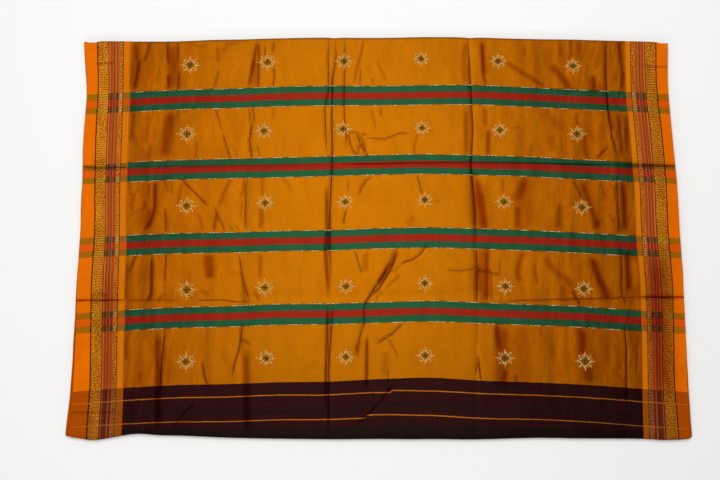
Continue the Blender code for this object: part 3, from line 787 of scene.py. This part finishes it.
def ripples(x, y):
    """Soft unevenness of the cloth, longer down the cloth than across it and stronger at the sides."""
    sides = 0.30 + 0.90 * np.clip(np.abs(x + 0.05) / 0.42, 0, 1) ** 2
    slow = np.sin(9.1 * y + 3.0 * x + 0.6)
    fine = np.sin(148 * x + 1.9 * slow + 2.1 * y) + 0.7 * np.sin(233 * x - 3.1 * y + 1.3 * slow + 1.0)
    wide = np.sin(61 * x + 5.3 * y + 0.4) * np.cos(17 * y + 2.0 * x)
    return sides * (FINE_RIPPLES * fine + WIDE_RIPPLES * wide)


def creased(x, y):
    """The upper face with every crease, and the painted shade and dark line that go with each."""
    broad = broad_height(x, y)
    height = broad + ripples(x, y)
    line = np.full_like(x, LINE_GONE)
    tone = np.zeros_like(x)
    # Painted shade in the broad creases, darker where the cloth lies lower
    shade = np.clip((STACK_HEIGHT - broad) / BROAD_SHADE_DEPTH, 0, 1) ** 2 * BROAD_SHADE
    for mark in MARKS:
        route = [(a * MM, b * MM) for a, b in mark.route]
        reach = max(mark.half_width * MM, LEAST_SHADE_REACH)
        margin = max(3 * reach, LINE_GONE)
        xs, ys = zip(*route)
        near = (x > min(xs) - margin) & (x < max(xs) + margin)
        near &= (y > min(ys) - margin) & (y < max(ys) + margin)
        if not near.any():
            continue
        signed, along = from_route(route, x[near], y[near])
        ends = np.clip(np.minimum(along, 1 - along) / TAPER, 0, 1)
        ends = ends * ends * (3 - 2 * ends)
        away = np.abs(signed) / (reach * (1 + mark.lean * np.sign(signed)))
        height[near] -= mark.depth * MM * MARK_DEPTH * np.exp(-away ** 2) * ends
        # Painted shade round the fine crease
        shade[near] += mark.shade * np.exp(-away ** 3) * ends
        # Painted dark line along the crease, where it is the nearest one
        if mark.line:
            fade = np.clip((LINE_GONE - np.abs(signed)) / (LINE_GONE - LINE_NEAR), 0, 1)
            wins = (np.abs(signed) < np.abs(line[near])) & (fade > 0)
            line[near] = np.where(wins, signed, line[near])
            tone[near] = np.where(wins, mark.line * np.sqrt(ends) * fade, tone[near])
    return Surface(height, line, tone, np.clip(shade, 0, 1))


# Grids of cloth

def with_even_steps(guides, spacing):
    """The guides, with as many more between each two as keep them no further apart than the spacing."""
    routes = [guides[0]]
    for start, end in zip(guides, guides[1:]):
        widest = max(abs(b - a) for a, b in zip(start, end))
        steps = math.ceil(widest / spacing)
        for step in range(1, steps + 1):
            routes.append(tuple(a + (b - a) * step / steps for a, b in zip(start, end)))
    return routes


def column_routes(spacing):
    """The X at the stations of each column, as an array with a row for each station."""
    stations = np.linspace(0, 1, len(LEFT_SELVEDGE))
    guides = [LEFT_SELVEDGE]
    for crease in CREASES:
        middle = at_station(crease.x, stations)
        for side in (-1, 0, 1):
            guides.append(tuple(middle + side * crease.reach))
    guides.append(RIGHT_SELVEDGE)
    return np.array(with_even_steps(guides, spacing)).T


def place_on(routes, y):
    """The X of each column at this Y of its own, in rows."""
    return at_station(routes, length_share(y))


def line_y(line, routes, bulges=()):
    """Where each column meets a line across the cloth."""
    middle = np.full((1, routes.shape[1]), line.middle)
    x = place_on(routes, middle)[0]
    return across(line, width_share(x, middle[0])) + bowed(bulges, x)


class Folds:
    """Where each column turns down: the Y of both edges, and the height and radius there."""

    def __init__(self, routes):
        self.far_y = line_y(FAR_EDGE, routes, FAR_BULGES)
        self.near_y = line_y(NEAR_EDGE, routes, NEAR_BULGES)
        self.far_height = self.height_at(routes, self.far_y)
        self.near_height = self.height_at(routes, self.near_y)
        self.far_centre = self.far_y - self.far_height / 4
        self.near_centre = self.near_y + self.near_height / 2

    @staticmethod
    def height_at(routes, y):
        return broad_height(place_on(routes, y[None])[0], y)


def woven_along(routes, y):
    """The V that is woven at each place of the upper stretch."""
    lines = [line for line, _ in WOVEN_LINES]
    woven = [v for _, v in WOVEN_LINES]
    levels = np.array([line_y(line, routes) for line in lines])
    v = np.empty_like(y)
    for column in range(y.shape[1]):
        v[:, column] = np.interp(y[:, column], levels[:, column], woven)
    return v


class Sheet(NamedTuple):
    """A grid of cloth: its points, and at each the woven place and the painted crease shade its colour reads.
    """

    points: np.ndarray
    u: np.ndarray
    v: np.ndarray
    line: np.ndarray
    tone: np.ndarray
    shade: np.ndarray


def stacked(sheets):
    return Sheet(*(np.concatenate(parts) for parts in zip(*sheets)))


def flat_stretch(routes, start_y, end_y, rows):
    """The upper face between two lines, as rows from the first to the second."""
    share = (np.arange(rows) / (rows - 1))[:, None]
    y = start_y[None] * (1 - share) + end_y[None] * share
    x = place_on(routes, y)
    surface = creased(x, y)
    points = np.stack((x, y, surface.height), axis=-1)
    return Sheet(points, woven_across(x, y), woven_along(routes, y), *surface[1:])


def turned(row, outward, radius, lip):
    """The fold past one row of a sheet: half a circle down and round, then a lip inwards."""
    path = [(radius * math.sin(angle), radius * (math.cos(angle) - 1), radius * angle)
            for angle in np.arange(1, TURN_STEPS + 1) * math.pi / TURN_STEPS]
    out, up, gone = path[-1]
    path += [(out - lip * step, up, gone + lip * step) for step in (0.5, 1.0)]
    return [
        Sheet(row.points + np.stack((0 * out, outward * out, up), axis=-1), row.u, row.v + outward * gone,
              row.line, row.tone, row.shade)
        for out, up, gone in path]


def upper_stretch(routes):
    """The ochre stretch with its far fold, and the dark stretch with its near one."""
    folds = Folds(routes)
    change = line_y(WEFT_CHANGE, routes)
    rows = math.ceil((FAR_EDGE.middle - WEFT_CHANGE.middle) / ROW_SPACING)
    body = flat_stretch(routes, folds.far_centre, change, rows)
    rows = math.ceil((WEFT_CHANGE.middle - NEAR_EDGE.middle) / ROW_SPACING)
    end = flat_stretch(routes, change, folds.near_centre, rows)
    far_row = Sheet(*(part[:1] for part in body))
    near_row = Sheet(*(part[-1:] for part in end))
    far_turn = turned(far_row, 1, far_row.points[0, :, 2] / 2 - folds.far_height / 4, FAR_LIP)
    near_turn = turned(near_row, -1, near_row.points[0, :, 2] / 2, NEAR_LIP)
    return stacked(far_turn[::-1] + [body]), stacked([end] + near_turn)


def layer_z(layer, height):
    """The middle of a hidden layer's thickness."""
    return height * (LAYERS - layer) / LAYERS + SHELL / 2


def sides_out(layer, y):
    """How far a layer sticks out past the top one at the left and at the right selvedge."""
    edge = LAYER_EDGES[layer]
    fan = np.clip(length_share(y), 0, 1) ** FAN_POWER
    wave = sum(height * np.sin(turns * y + shift * layer) for height, turns, shift in LAYER_WAVES)
    left = edge.left_far + (edge.left_near - edge.left_far) * fan + wave
    right = edge.right_far + (edge.right_near - edge.right_far) * fan - wave
    return left, right


def hidden_place(routes, layer, next_layer, share, y):
    """The X of hidden cloth between two layers, and the broad height there."""
    base = place_on(routes, y)
    left_out, right_out = (a * (1 - share) + b * share
                           for a, b in zip(sides_out(layer, y), sides_out(next_layer, y)))
    across_share = width_share(base, y)
    x = base - left_out * (1 - across_share) + right_out * across_share
    return x, broad_height(base, y)


def turn_centre(folds, upper, lower, at_far):
    """The Y round which two layers turn."""
    if not at_far:
        return folds.near_centre
    if upper == 2:
        return folds.far_centre
    radius = (layer_z(upper, folds.far_height) - layer_z(lower, folds.far_height)) / 2
    return folds.far_y - FAR_BACK[lower] - radius - SHELL / 2


def layer_run(routes, layer, start_y, end_y):
    """Rows of points along one hidden layer."""
    rows = math.ceil(PANEL_LENGTH / RIBBON_ROW_SPACING)
    points = []
    for share in (row / rows for row in range(rows + 1)):
        y = (start_y * (1 - share) + end_y * share)[None]
        x, height = hidden_place(routes, layer, layer, 0, y)
        points.append(np.stack((x[0], y[0], layer_z(layer, height)[0]), axis=-1))
    return points


def layer_turn(routes, layer, following, turn_y, outward):
    """Rows of points round the fold from one hidden layer into another."""
    points = []
    for share in (step / TURN_STEPS for step in range(1, TURN_STEPS)):
        x, height = hidden_place(routes, layer, following, share, turn_y[None])
        start_z, end_z = layer_z(layer, height)[0], layer_z(following, height)[0]
        y = turn_y + outward * np.abs(end_z - start_z) / 2 * math.sin(math.pi * share)
        z = (start_z + end_z) / 2 + (start_z - end_z) / 2 * math.cos(math.pi * share)
        points.append(np.stack((x[0], y, z), axis=-1))
    return points


def ribbon(routes, layers, start_y, end_y, starts_near, start_v, v_sign):
    """The cloth on its way through several layers, from one free end or lip to another."""
    folds = Folds(routes)
    points = []
    at_far = starts_near
    for layer, following in zip(layers, layers[1:]):
        turn_y = turn_centre(folds, min(layer, following), max(layer, following), at_far)
        points += layer_run(routes, layer, start_y, turn_y)
        points += layer_turn(routes, layer, following, turn_y, 1 if at_far else -1)
        start_y = turn_y
        at_far = not at_far
    points = np.array(points + layer_run(routes, layers[-1], start_y, end_y))
    middle = points[:, points.shape[1] // 2, 1:]
    walked = np.concatenate(([0], np.cumsum(np.hypot(*np.diff(middle, axis=0).T))))
    u = np.broadcast_to(ribbon_u(routes), points.shape[:2])
    v = np.broadcast_to((start_v + v_sign * walked)[:, None], points.shape[:2])
    plain = np.zeros(points.shape[:2])
    return Sheet(points, u, v, plain + LINE_GONE, plain, plain), walked[-1]


def ribbon_u(routes):
    """The U of each column of the hidden layers, which lie a little straighter than the top one."""
    y = np.zeros((1, routes.shape[1]))
    return woven_across(place_on(routes, y), y)


# Objects

def add_object(name, data):
    thing = bpy.data.objects.new(name, data)
    bpy.context.collection.objects.link(thing)
    return thing


def read(items, name, kind=float, width=1):
    """One property of all the vertices, corners or faces of a mesh."""
    values = np.empty(len(items) * width, kind)
    items.foreach_get(name, values)
    return values


def add_values(mesh, name, values):
    attribute = mesh.attributes.new(name, "FLOAT", "POINT")
    attribute.data.foreach_set("value", values.astype(np.float32))


def thicken(piece, offset):
    """Makes a thin shell of a sheet that has just been added."""
    modifier = piece.modifiers.new("Solidify", "SOLIDIFY")
    modifier.thickness = SHELL
    modifier.offset = offset
    bpy.ops.object.modifier_apply(modifier=modifier.name)


def add_cloth(name, sheet, offset):
    """A grid whose points are moved to a sheet's, with its woven places, values and thickness."""
    rows, columns = sheet.u.shape
    bpy.ops.mesh.primitive_grid_add(x_subdivisions=columns - 1, y_subdivisions=rows - 1, size=2)
    piece = bpy.context.object
    piece.name = name
    mesh = piece.data
    mesh.name = name
    places = read(mesh.vertices, "co", width=3).reshape(-1, 3)
    column = np.rint((places[:, 0] + 1) / 2 * (columns - 1)).astype(int)
    row = np.rint((1 - places[:, 1]) / 2 * (rows - 1)).astype(int)
    mesh.vertices.foreach_set("co", sheet.points[row, column].ravel())
    woven = np.stack((sheet.u, sheet.v), axis=-1)[row, column]
    weave = mesh.uv_layers.active
    weave.name = "weave"
    weave.data.foreach_set("uv", woven[read(mesh.loops, "vertex_index", int)].ravel())
    # Where each crease line lies, and how dark its painted line and its painted shade are
    add_values(mesh, "crease_line", sheet.line[row, column])
    add_values(mesh, "crease_tone", sheet.tone[row, column])
    add_values(mesh, "crease_shade", sheet.shade[row, column])
    mesh.update()
    shown = len(mesh.vertices)
    thicken(piece, offset)
    if offset < 0:
        thin_out_inside(mesh, shown)
    bpy.ops.object.shade_smooth_by_angle(angle=SMOOTH_ANGLE)
    return piece


def thin_out_inside(mesh, shown):
    """Gives the inner side of a shell, which nothing shows, fewer and larger faces."""
    corners = read(mesh.loops, "vertex_index", int)
    inside = np.minimum.reduceat(corners, read(mesh.polygons, "loop_start", int)) >= shown
    bpy.ops.object.mode_set(mode="EDIT")
    bpy.ops.mesh.select_mode(type="FACE")
    bpy.ops.mesh.select_all(action="DESELECT")
    bpy.ops.object.mode_set(mode="OBJECT")
    mesh.polygons.foreach_set("select", inside)
    bpy.ops.object.mode_set(mode="EDIT")
    bpy.ops.mesh.decimate(ratio=INNER_SHARE)
    bpy.ops.object.mode_set(mode="OBJECT")


# Stitches

class Stitch(NamedTuple):
    """A stitch: where it starts and ends, its width, and how far it stands up."""

    start: tuple
    end: tuple
    width: float
    height: float


def add_threads(name, stitches, sections):
    """Many raised stitches as one mesh: each a slim closed spindle that follows the cloth."""
    bpy.ops.mesh.primitive_uv_sphere_add(segments=6, ring_count=sections, radius=1)
    spindle = bpy.context.object
    joined = bmesh.new()
    for _ in stitches:
        joined.from_mesh(spindle.data)
    mesh = bpy.data.meshes.new(name)
    joined.to_mesh(mesh)
    joined.free()
    base = read(spindle.data.vertices, "co", width=3).reshape(1, -1, 3)
    starts, ends, widths, heights = (np.array(part)[:, None] for part in zip(*stitches))
    t = (base[..., 2] + 1) / 2
    along = ends - starts
    length = np.linalg.norm(along, axis=-1)
    middle_x = starts[..., 0] + along[..., 0] * t
    middle_y = starts[..., 1] + along[..., 1] * t
    aside = base[..., 0] * widths / 2
    x = middle_x - aside * along[..., 1] / length
    y = middle_y + aside * along[..., 0] / length
    z = creased(middle_x, middle_y).height + base[..., 1] * heights + heights * STITCH_SEAT
    mesh.vertices.foreach_set("co", np.stack((x, y, z), axis=-1).ravel())
    run = (t * length / THREAD_RUN).ravel()
    side = np.broadcast_to(base[..., 0], x.shape).ravel()
    twist = np.stack((run, side), axis=-1)[read(mesh.loops, "vertex_index", int)]
    mesh.uv_layers.new(name="thread").data.foreach_set("uv", twist.ravel())
    mesh.shade_smooth()
    mesh.update()
    bpy.data.objects.remove(spindle)
    return add_object(name, mesh)


def turned_ends(ends, quarter):
    """The ends of a stitch, turned by quarters round the middle of a star, and from mm to metres."""
    for _ in range(quarter):
        ends = [(-y, x) for x, y in ends]
    return [(x * MM, y * MM) for x, y in ends]


def star_stitches(first_quarter, width, lift):
    """The stitches of the first quarter of a star, in all four quarters of each star."""
    stitches = []
    for number, (x, y) in [star for row in STAR_ROWS for star in enumerate(row)]:
        size = 1 + STAR_UNEVEN * math.sin(7.1 * number + 40 * y)
        for quarter in range(4):
            for place, ends in enumerate(first_quarter):
                astray = 9.7 * place + 31 * x + 53 * y + 2.3 * quarter
                dx, dy = ASTRAY * math.sin(astray), ASTRAY * math.cos(1.7 * astray)
                start, end = [(x + out_x * size + dx, y + out_y * size * STAR_HEIGHT + dy)
                              for out_x, out_y in turned_ends(ends, quarter)]
                stitches.append(Stitch(start, end, width, lift))
    return stitches


def beside_band(line, side, x):
    """The place of a running stitch's end, on one side of a band."""
    return x, across(line, (x + CLOTH_WIDTH / 2) / CLOTH_WIDTH) + side * (GREEN_HALF + RUN_OUT)


def dash_stitches():
    """The running stitches along both edges of each band, over the field."""
    stitches = []
    for number, line in enumerate((BAND_1, BAND_2, BAND_3, BAND_4)):
        for side in (-1, 1):
            x = RUN_START + RUN_SHIFT * ((number * 2 + side) % 3)
            step = 0
            while x < RUN_END:
                length = RUN_LENGTH + 0.0090 * math.sin(2.7 * step + number + side)
                pitch = RUN_PITCH + 0.0070 * math.sin(1.9 * step + 2 * number + side)
                start, end = beside_band(line, side, x), beside_band(line, side, x + length)
                stitches.append(Stitch(start, end, RUN_WIDTH, RUN_LIFT))
                x += pitch
                step += 1
    return stitches


# Shaders

class Value:
    """A number or colour that changes over a surface. Its operators add Math nodes."""

    def __init__(self, nodes, output):
        self.nodes = nodes
        self.output = output

    def maths(self, operation, *values, clamp=False):
        return self.nodes.add("ShaderNodeMath", {"operation": operation, "use_clamp": clamp}, values)

    def __add__(self, other):
        return self.maths("ADD", self, other)

    def __sub__(self, other):
        return self.maths("SUBTRACT", self, other)

    def __rsub__(self, other):
        return self.maths("SUBTRACT", other, self)

    def __mul__(self, other):
        return self.maths("MULTIPLY", self, other)

    def __truediv__(self, other):
        return self.maths("DIVIDE", self, other)

    def __rtruediv__(self, other):
        return self.maths("DIVIDE", other, self)

    __radd__ = __add__
    __rmul__ = __mul__

    def above(self, edge, blur):
        """0 below the edge and 1 above it, with a soft step between."""
        return self.maths("MULTIPLY_ADD", self, 1 / blur, 0.5 - edge / blur, clamp=True)

    def inside(self, start, end, blur):
        """1 between the start and the end and 0 outside, with a soft step at each."""
        return self.above(start, blur) * (1 - self.above(end, blur))

    def absolute(self):
        return self.maths("ABSOLUTE", self)

    def clamped(self):
        return self.maths("ADD", self, 0.0, clamp=True)

    def least(self, other):
        return self.maths("MINIMUM", self, other)

    def most(self, other):
        return self.maths("MAXIMUM", self, other)

    def fraction(self):
        return self.maths("FRACT", self)

    def sine(self):
        return self.maths("SINE", self)

    def waves(self, pitch):
        return (self * (2 * math.pi / pitch)).sine()


class Nodes:
    """The nodes of one material."""

    def __init__(self, name, finish):
        self.material = bpy.data.materials.new(name)
        self.material.use_nodes = True
        self.tree = self.material.node_tree
        self.shader = self.tree.nodes["Principled BSDF"]
        for socket, value in finish.items():
            self.shader.inputs[socket].default_value = value

    def fill(self, socket, value):
        if isinstance(value, Value):
            self.tree.links.new(value.output, socket)
        elif isinstance(value, tuple) and len(value) == 3 and socket.type == "RGBA":
            socket.default_value = (*value, 1)
        else:
            socket.default_value = value

    def add(self, kind, settings=(), inputs=(), output=0):
        """A node: its settings first, then the values or links of its sockets, by place or name."""
        node = self.tree.nodes.new(kind)
        for setting, value in dict(settings).items():
            if setting == "stops":
                self.set_stops(node.color_ramp, value)
            else:
                setattr(node, setting, value)
        places = inputs.items() if isinstance(inputs, dict) else enumerate(inputs)
        for place, value in places:
            self.fill(node.inputs[place], value)
        return Value(self, node.outputs[output])

    @staticmethod
    def set_stops(ramp, stops):
        ramp.interpolation = "CONSTANT"
        for _ in range(len(stops) - len(ramp.elements)):
            ramp.elements.new(0.5)
        for element, (place, colour) in zip(ramp.elements, stops):
            element.position = place
            element.color = (*colour, 1)

    def mixed(self, factor, first, second, blend="MIX"):
        settings = {"data_type": "RGBA", "blend_type": blend}
        return self.add("ShaderNodeMix", settings, {0: factor, 6: first, 7: second}, output=2)

    def tinted(self, factor, colour, tint):
        return self.mixed(factor, colour, tint, "MULTIPLY")

    def attribute(self, name):
        return self.add("ShaderNodeAttribute", {"attribute_name": name}, output="Fac")

    def first_two(self, place):
        """The X and Y of a place."""
        return [self.add("ShaderNodeSeparateXYZ", inputs=(place,), output=axis) for axis in (0, 1)]

    def on_map(self, name):
        """U and V of the piece's own map."""
        return self.first_two(self.add("ShaderNodeUVMap", {"uv_map": name}))

    def noise(self, u, v, scale_u, scale_v, detail=2.0):
        """Soft spots around 0.5, at so many to the metre along U and along V."""
        vector = self.add("ShaderNodeCombineXYZ", inputs=(u * scale_u, v * scale_v, 0.0))
        settings = {"noise_dimensions": "2D"}
        return self.add("ShaderNodeTexNoise", settings, {"Vector": vector, "Scale": 1.0, "Detail": detail})

    def feed(self, socket, value):
        self.fill(self.shader.inputs[socket], value)

    def bump(self, height, distance, strength):
        inputs = {"Strength": strength, "Distance": distance, "Height": height}
        self.feed("Normal", self.add("ShaderNodeBump", inputs=inputs))


def border_ramp(nodes, from_edge, weft):
    """The border's stripes and the field, as they look over one weft."""
    starts = [0.0] + [stripe.end for stripe in STRIPES]
    stops = [(start / RAMP_REACH, getattr(stripe, weft)) for start, stripe in zip(starts, STRIPES)]
    return nodes.add("ShaderNodeValToRGB", {"stops": stops}, (from_edge / RAMP_REACH,))


class Wefts(NamedTuple):
    """V as the uneven wefts have it, how far that is from the nearest band, and where each weft lies."""

    v: Value
    from_band: Value
    banded: Value
    green: Value
    red: Value
    dark: Value


def lay_wefts(nodes, u, v):
    """The wefts, which wander by up to a millimetre."""
    wander = (nodes.noise(u, v, 30, 200) - 0.5) * 0.0009 + (nodes.noise(u, v, 330, 60) - 0.5) * 0.0016
    weft_v = v + wander
    repeats = (weft_v - (FIRST_BAND - BAND_REPEAT / 2)) / BAND_REPEAT
    from_band = (repeats.fraction() - 0.5).absolute() * BAND_REPEAT
    banded = weft_v.inside(*BANDED, 0.001)
    green = (1 - from_band.above(GREEN_HALF, EDGE_BLUR)) * banded
    red = (1 - from_band.above(RED_HALF, EDGE_BLUR)) * banded
    dark = 1 - weft_v.above(0.0, EDGE_BLUR)
    return Wefts(weft_v, from_band, banded, green, red, dark)


def striped(nodes, u, v, from_edge, in_field, wefts):
    """The stripes over each weft, the dark rims of the bands, the darker wefts, the painted shade and
    reflection where the cloth slopes into the near fold, and the pinstripes.
    """
    colour = border_ramp(nodes, from_edge, "over_ochre")
    for where, weft in ((wefts.green, "over_green"), (wefts.red, "over_red"), (wefts.dark, "over_aubergine")):
        colour = nodes.mixed(where, colour, border_ramp(nodes, from_edge, weft))
    rims = wefts.from_band.inside(GREEN_HALF - 0.0004, GREEN_HALF + 0.0014, 0.0008)
    rims = rims.most(wefts.from_band.inside(RED_HALF - 0.0005, RED_HALF + 0.0005, 0.0008) * 0.7)
    rims = rims * wefts.banded * in_field * nodes.noise(u, v, 110, 40).above(0.42, 0.2)
    colour = nodes.mixed(rims * 0.65, colour, RIM_DARK)
    # Painted shade and reflection where the cloth slopes into the near fold: darker and greener past a wavy
    # line. The darker wefts take the same colour as their own.
    near_v = v + (nodes.noise(u, v, 15, 20) - 0.5) * 0.014
    near_fold_shading = (1 - near_v.above(NEAR_FOLD_SHADE_START, 0.006)) * 0.85
    darker = nodes.noise(u, v, 7, 150).above(0.56, 0.14) * wefts.dark * 0.35
    darker = darker.most(wefts.v.inside(*DARKER_WEFTS, 0.006) * 0.5)
    colour = nodes.mixed(near_fold_shading.most(darker) * in_field, colour, DARK_WEFT_AND_FOLD_SHADE)
    lines = sum(wefts.v.inside(middle - PINSTRIPE_HALF, middle + PINSTRIPE_HALF, 0.0005)
                for middle in PINSTRIPES)
    return nodes.mixed(lines * 0.75, colour, PINSTRIPE)


def gold_figure(nodes, u, v):
    """The woven gold: short ribs across it in places and specks in others, all a little uneven."""
    where = nodes.noise(u, v, 12, 26).above(0.5, 0.12)
    ribs = v.waves(ZARI_RIB_PITCH) * 0.30
    specks = nodes.noise(u, v, 340, 420, detail=0.0) - 0.5
    slow = nodes.noise(u, v, 60, 22) - 0.5
    return (0.44 + where * ribs + (1.15 - where * 0.6) * specks * 1.3 + slow * 0.5).clamped()


def uneven(nodes, colour, u, v, in_field, dark):
    """The colour with uneven threads, then painted shade and light: redder towards the sides, blotched where
    the cloth is rumpled, paler at the far right and darker at the right of the dark end.
    """
    streaks = nodes.noise(u, v, 46, 16, detail=3.0)
    slubs = nodes.noise(u, v, 45, 150, detail=0.0)
    tone = 0.855 + 0.18 * streaks + 0.06 * slubs
    colour = nodes.tinted(1.0, colour, nodes.add("ShaderNodeCombineColor", inputs=(tone, tone, tone)))
    # Painted shade: the redder hue the silk shows towards the sides, where its sheen falls off
    at_left = 1 - u.above(*LEFT_SIDE)
    at_right = u.above(*RIGHT_SIDE)
    beside = (at_left * 0.67).most(at_right * 0.85) * in_field
    colour = nodes.tinted(beside, colour, SIDE_SHADE_HUE)
    # Painted shade in soft blotches and slanting wrinkles where the cloth is rumpled, stronger at the sides
    blotches = nodes.noise(u + v * 0.10, v, 42, 15, detail=3.0).above(0.56, 0.16)
    wrinkles = nodes.noise(u - v * 0.16, v, 115, 21).above(0.58, 0.12)
    rumpled = (blotches * (beside * 0.6 + 0.14)).most(wrinkles * beside * 0.75) * in_field
    colour = nodes.tinted(rumpled, colour, RUMPLE_SHADE)
    # Painted light: the colour paler towards the far right corner
    paler_far_right = u.above(*FAR_RIGHT) * v.above(0.40, 0.45) * in_field
    colour = nodes.tinted(paler_far_right, colour, FAR_RIGHT_LIGHT)
    # Painted shade over the right of the dark end, where its sheen falls off
    return nodes.tinted(at_right * dark * in_field, colour, DARK_RIGHT_SHADE)


def with_painted_crease_shade(nodes, colour):
    """The colour with painted shade: a soft brown shade round each crease and a thin dark line along it."""
    off_line = nodes.attribute("crease_line") * (1 / LINE_HALF)
    line = 1 / (1 + off_line * off_line)
    line = nodes.attribute("crease_tone") * line * line
    colour = nodes.tinted(nodes.attribute("crease_shade"), colour, CREASE_SHADE)
    return nodes.tinted(line, colour, CREASE_LINE_SHADE)


def silk(name):
    """The woven silk: warp stripes, weft bands, gold borders, threads, and painted shade and light: at the
    sides, in rumples, at the far right, near the near fold and in its creases.
    """
    nodes = Nodes(name, {"Specular IOR Level": 0.0})
    u, v = nodes.on_map("weave")
    from_edge = u.least(CLOTH_WIDTH - u) + (nodes.noise(u, v, 10, 130) - 0.5) * 0.0011
    in_field = from_edge.above(BORDER_WIDTH, EDGE_BLUR)
    wefts = lay_wefts(nodes, u, v)
    colour = striped(nodes, u, v, from_edge, in_field, wefts)

    # The two stripes of woven gold, and the line of dashes beside the narrow one
    gold = from_edge.inside(*WIDE_ZARI, EDGE_BLUR).most(from_edge.inside(*NARROW_ZARI, EDGE_BLUR))
    figure = gold_figure(nodes, u, v)
    dashes = from_edge.inside(*DASHES, EDGE_BLUR) * v.waves(DASH_PITCH).above(0.75, 0.6)
    colour = nodes.mixed(dashes * 0.7, colour, GOLD)
    colour = nodes.tinted(gold, colour, nodes.mixed(figure, FIGURE_LOW, FIGURE_HIGH))
    # Uneven threads, then painted shade and light over the sides, the rumples, the far right and the dark end
    colour = uneven(nodes, colour, u, v, in_field, wefts.dark)
    # Then the painted shade in and along the creases
    nodes.feed("Base Color", with_painted_crease_shade(nodes, colour))
    shine = in_field * (0.45 - wefts.green * 0.25 - wefts.dark * 0.30)
    nodes.feed("Metallic", gold * 0.30 + shine + 0.02)
    nodes.feed("Roughness", 0.38 - in_field * 0.09)

    # The threads: fine ribs of weft, and the raised gold
    height = v.waves(WEFT_PITCH) * u.waves(WARP_PITCH) * 0.5 + gold * figure * 2.0
    nodes.bump(height, distance=0.00010, strength=0.5)
    return nodes.material


def thread(name, colour, other, at_right=None):
    """Embroidery thread in two tones, in specks. The second can change towards the right of the cloth."""
    nodes = Nodes(name, {"Roughness": 0.6, "Specular IOR Level": 0.1})
    run, side = nodes.on_map("thread")
    x, y = nodes.first_two(nodes.add("ShaderNodeTexCoord", output="Object"))
    specks = (nodes.noise(x, y, 310, 310, detail=0.0) * 3.2 - 1.1).clamped()
    if at_right:
        other = nodes.mixed(x.above(0.15, 0.4), other, at_right)
    nodes.feed("Base Color", nodes.mixed(specks * 0.9, colour, other))
    nodes.bump((run * 38 + side * 2.4).sine(), distance=0.00005, strength=0.7)
    return nodes.material


# Setting it up

def set_camera():
    data = bpy.data.cameras.new("camera")
    data.lens = LENS
    data.sensor_width = SENSOR
    camera = add_object("camera", data)
    x, y, z = AIM
    camera.location = (
        x,
        y - CAMERA_DISTANCE * math.cos(CAMERA_ELEVATION),
        z + CAMERA_DISTANCE * math.sin(CAMERA_ELEVATION),
    )
    camera.rotation_euler = (math.pi / 2 - CAMERA_ELEVATION, 0, 0)
    bpy.context.scene.camera = camera


def add_panel(name, place, aim, size, power):
    """A soft rectangular light that faces a point."""
    data = bpy.data.lights.new(name, "AREA")
    data.shape = "RECTANGLE"
    data.size, data.size_y = size
    data.energy = power
    panel = add_object(name, data)
    panel.location = place
    direction = np.array(aim) - np.array(place)
    x, y, z = direction / np.linalg.norm(direction)
    panel.rotation_euler = (math.atan2(math.hypot(x, y), -z), 0, math.atan2(-x, y) if x or y else 0)


def set_light():
    world = bpy.data.worlds.new("studio")
    bpy.context.scene.world = world
    world.use_nodes = True
    background = world.node_tree.nodes["Background"]
    background.inputs["Color"].default_value = (1, 1, 1, 1)
    background.inputs["Strength"].default_value = SKY
    add_panel("strip", place=(-0.11, 0.77, 2.9), aim=(-0.11, 0.77, 0), size=(1.88, 2.55), power=81)
    add_panel("front", place=(-0.9, -2.2, 1.6), aim=(0, 0, 0), size=(2.0, 1.0), power=14)
    bpy.context.scene.view_settings.view_transform = "Standard"


def add_floor():
    bpy.ops.mesh.primitive_grid_add(x_subdivisions=8, y_subdivisions=8, size=9, location=(0, 0, FLOOR_Z))
    bpy.ops.object.transform_apply(location=True)
    floor = bpy.context.object
    floor.name = "floor"
    nodes = Nodes("pale floor", {"Roughness": 0.9, "Specular IOR Level": 0.1})
    nodes.feed("Base Color", FLOOR_WHITE)
    floor.data.materials.append(nodes.material)


def dress(piece, material):
    piece.data.materials.append(material)
    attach(piece, "root")


def build_cloth():
    """The upper stretch and the layers below it."""
    material = silk("woven silk")
    routes = column_routes(COLUMN_SPACING)
    body, end = upper_stretch(routes)
    body_cloth = add_cloth("body_cloth", body, -1)
    end_cloth = add_cloth("end_cloth", end, -1)
    coarse = column_routes(RIBBON_COLUMN_SPACING)
    folds = Folds(coarse)
    inner, inner_length = ribbon(
        coarse, (4, 5), folds.far_centre - FAR_LIP, folds.far_y - FAR_BACK[5], starts_near=False,
        start_v=FAR_EDGE_V + math.pi * STACK_HEIGHT / 8 + FAR_LIP, v_sign=1)
    outer, outer_length = ribbon(
        coarse, (8, 7, 2, 3, 6), folds.near_centre + NEAR_LIP, folds.far_y - FAR_BACK[6], starts_near=True,
        start_v=NEAR_EDGE_V - math.pi * STACK_HEIGHT / 4 - NEAR_LIP, v_sign=-1)
    inner_layers = add_cloth("inner_layers", inner, 0)
    outer_layers = add_cloth("outer_layers", outer, 0)
    dress(body_cloth, material)
    dress(end_cloth, material)
    dress(inner_layers, material)
    dress(outer_layers, material)
    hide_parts("ochre_stretch")
    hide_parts("aubergine_stretch")
    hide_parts("hidden_layers")
    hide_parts("hidden_layers")
    return body_cloth, end_cloth, (inner_layers, inner_length), (outer_layers, outer_length)


def build_stitches():
    """The stars and the running stitches, as joined meshes of raised thread."""
    pieces = []
    for name, first_quarter, width, lift, yarn in STAR_PARTS:
        piece = add_threads(name, star_stitches(first_quarter, width, lift), STAR_SECTIONS)
        dress(piece, thread(*yarn))
        pieces.append(piece)
    dashes = add_threads("band_stitches", dash_stitches(), RUN_SECTIONS)
    dress(dashes, thread("pale thread", PALE, PALE_SHADE))
    return pieces + [dashes]


set_camera()
set_light()
add_floor()
body_cloth, end_cloth, inner, outer = build_cloth()
stitches = build_stitches()
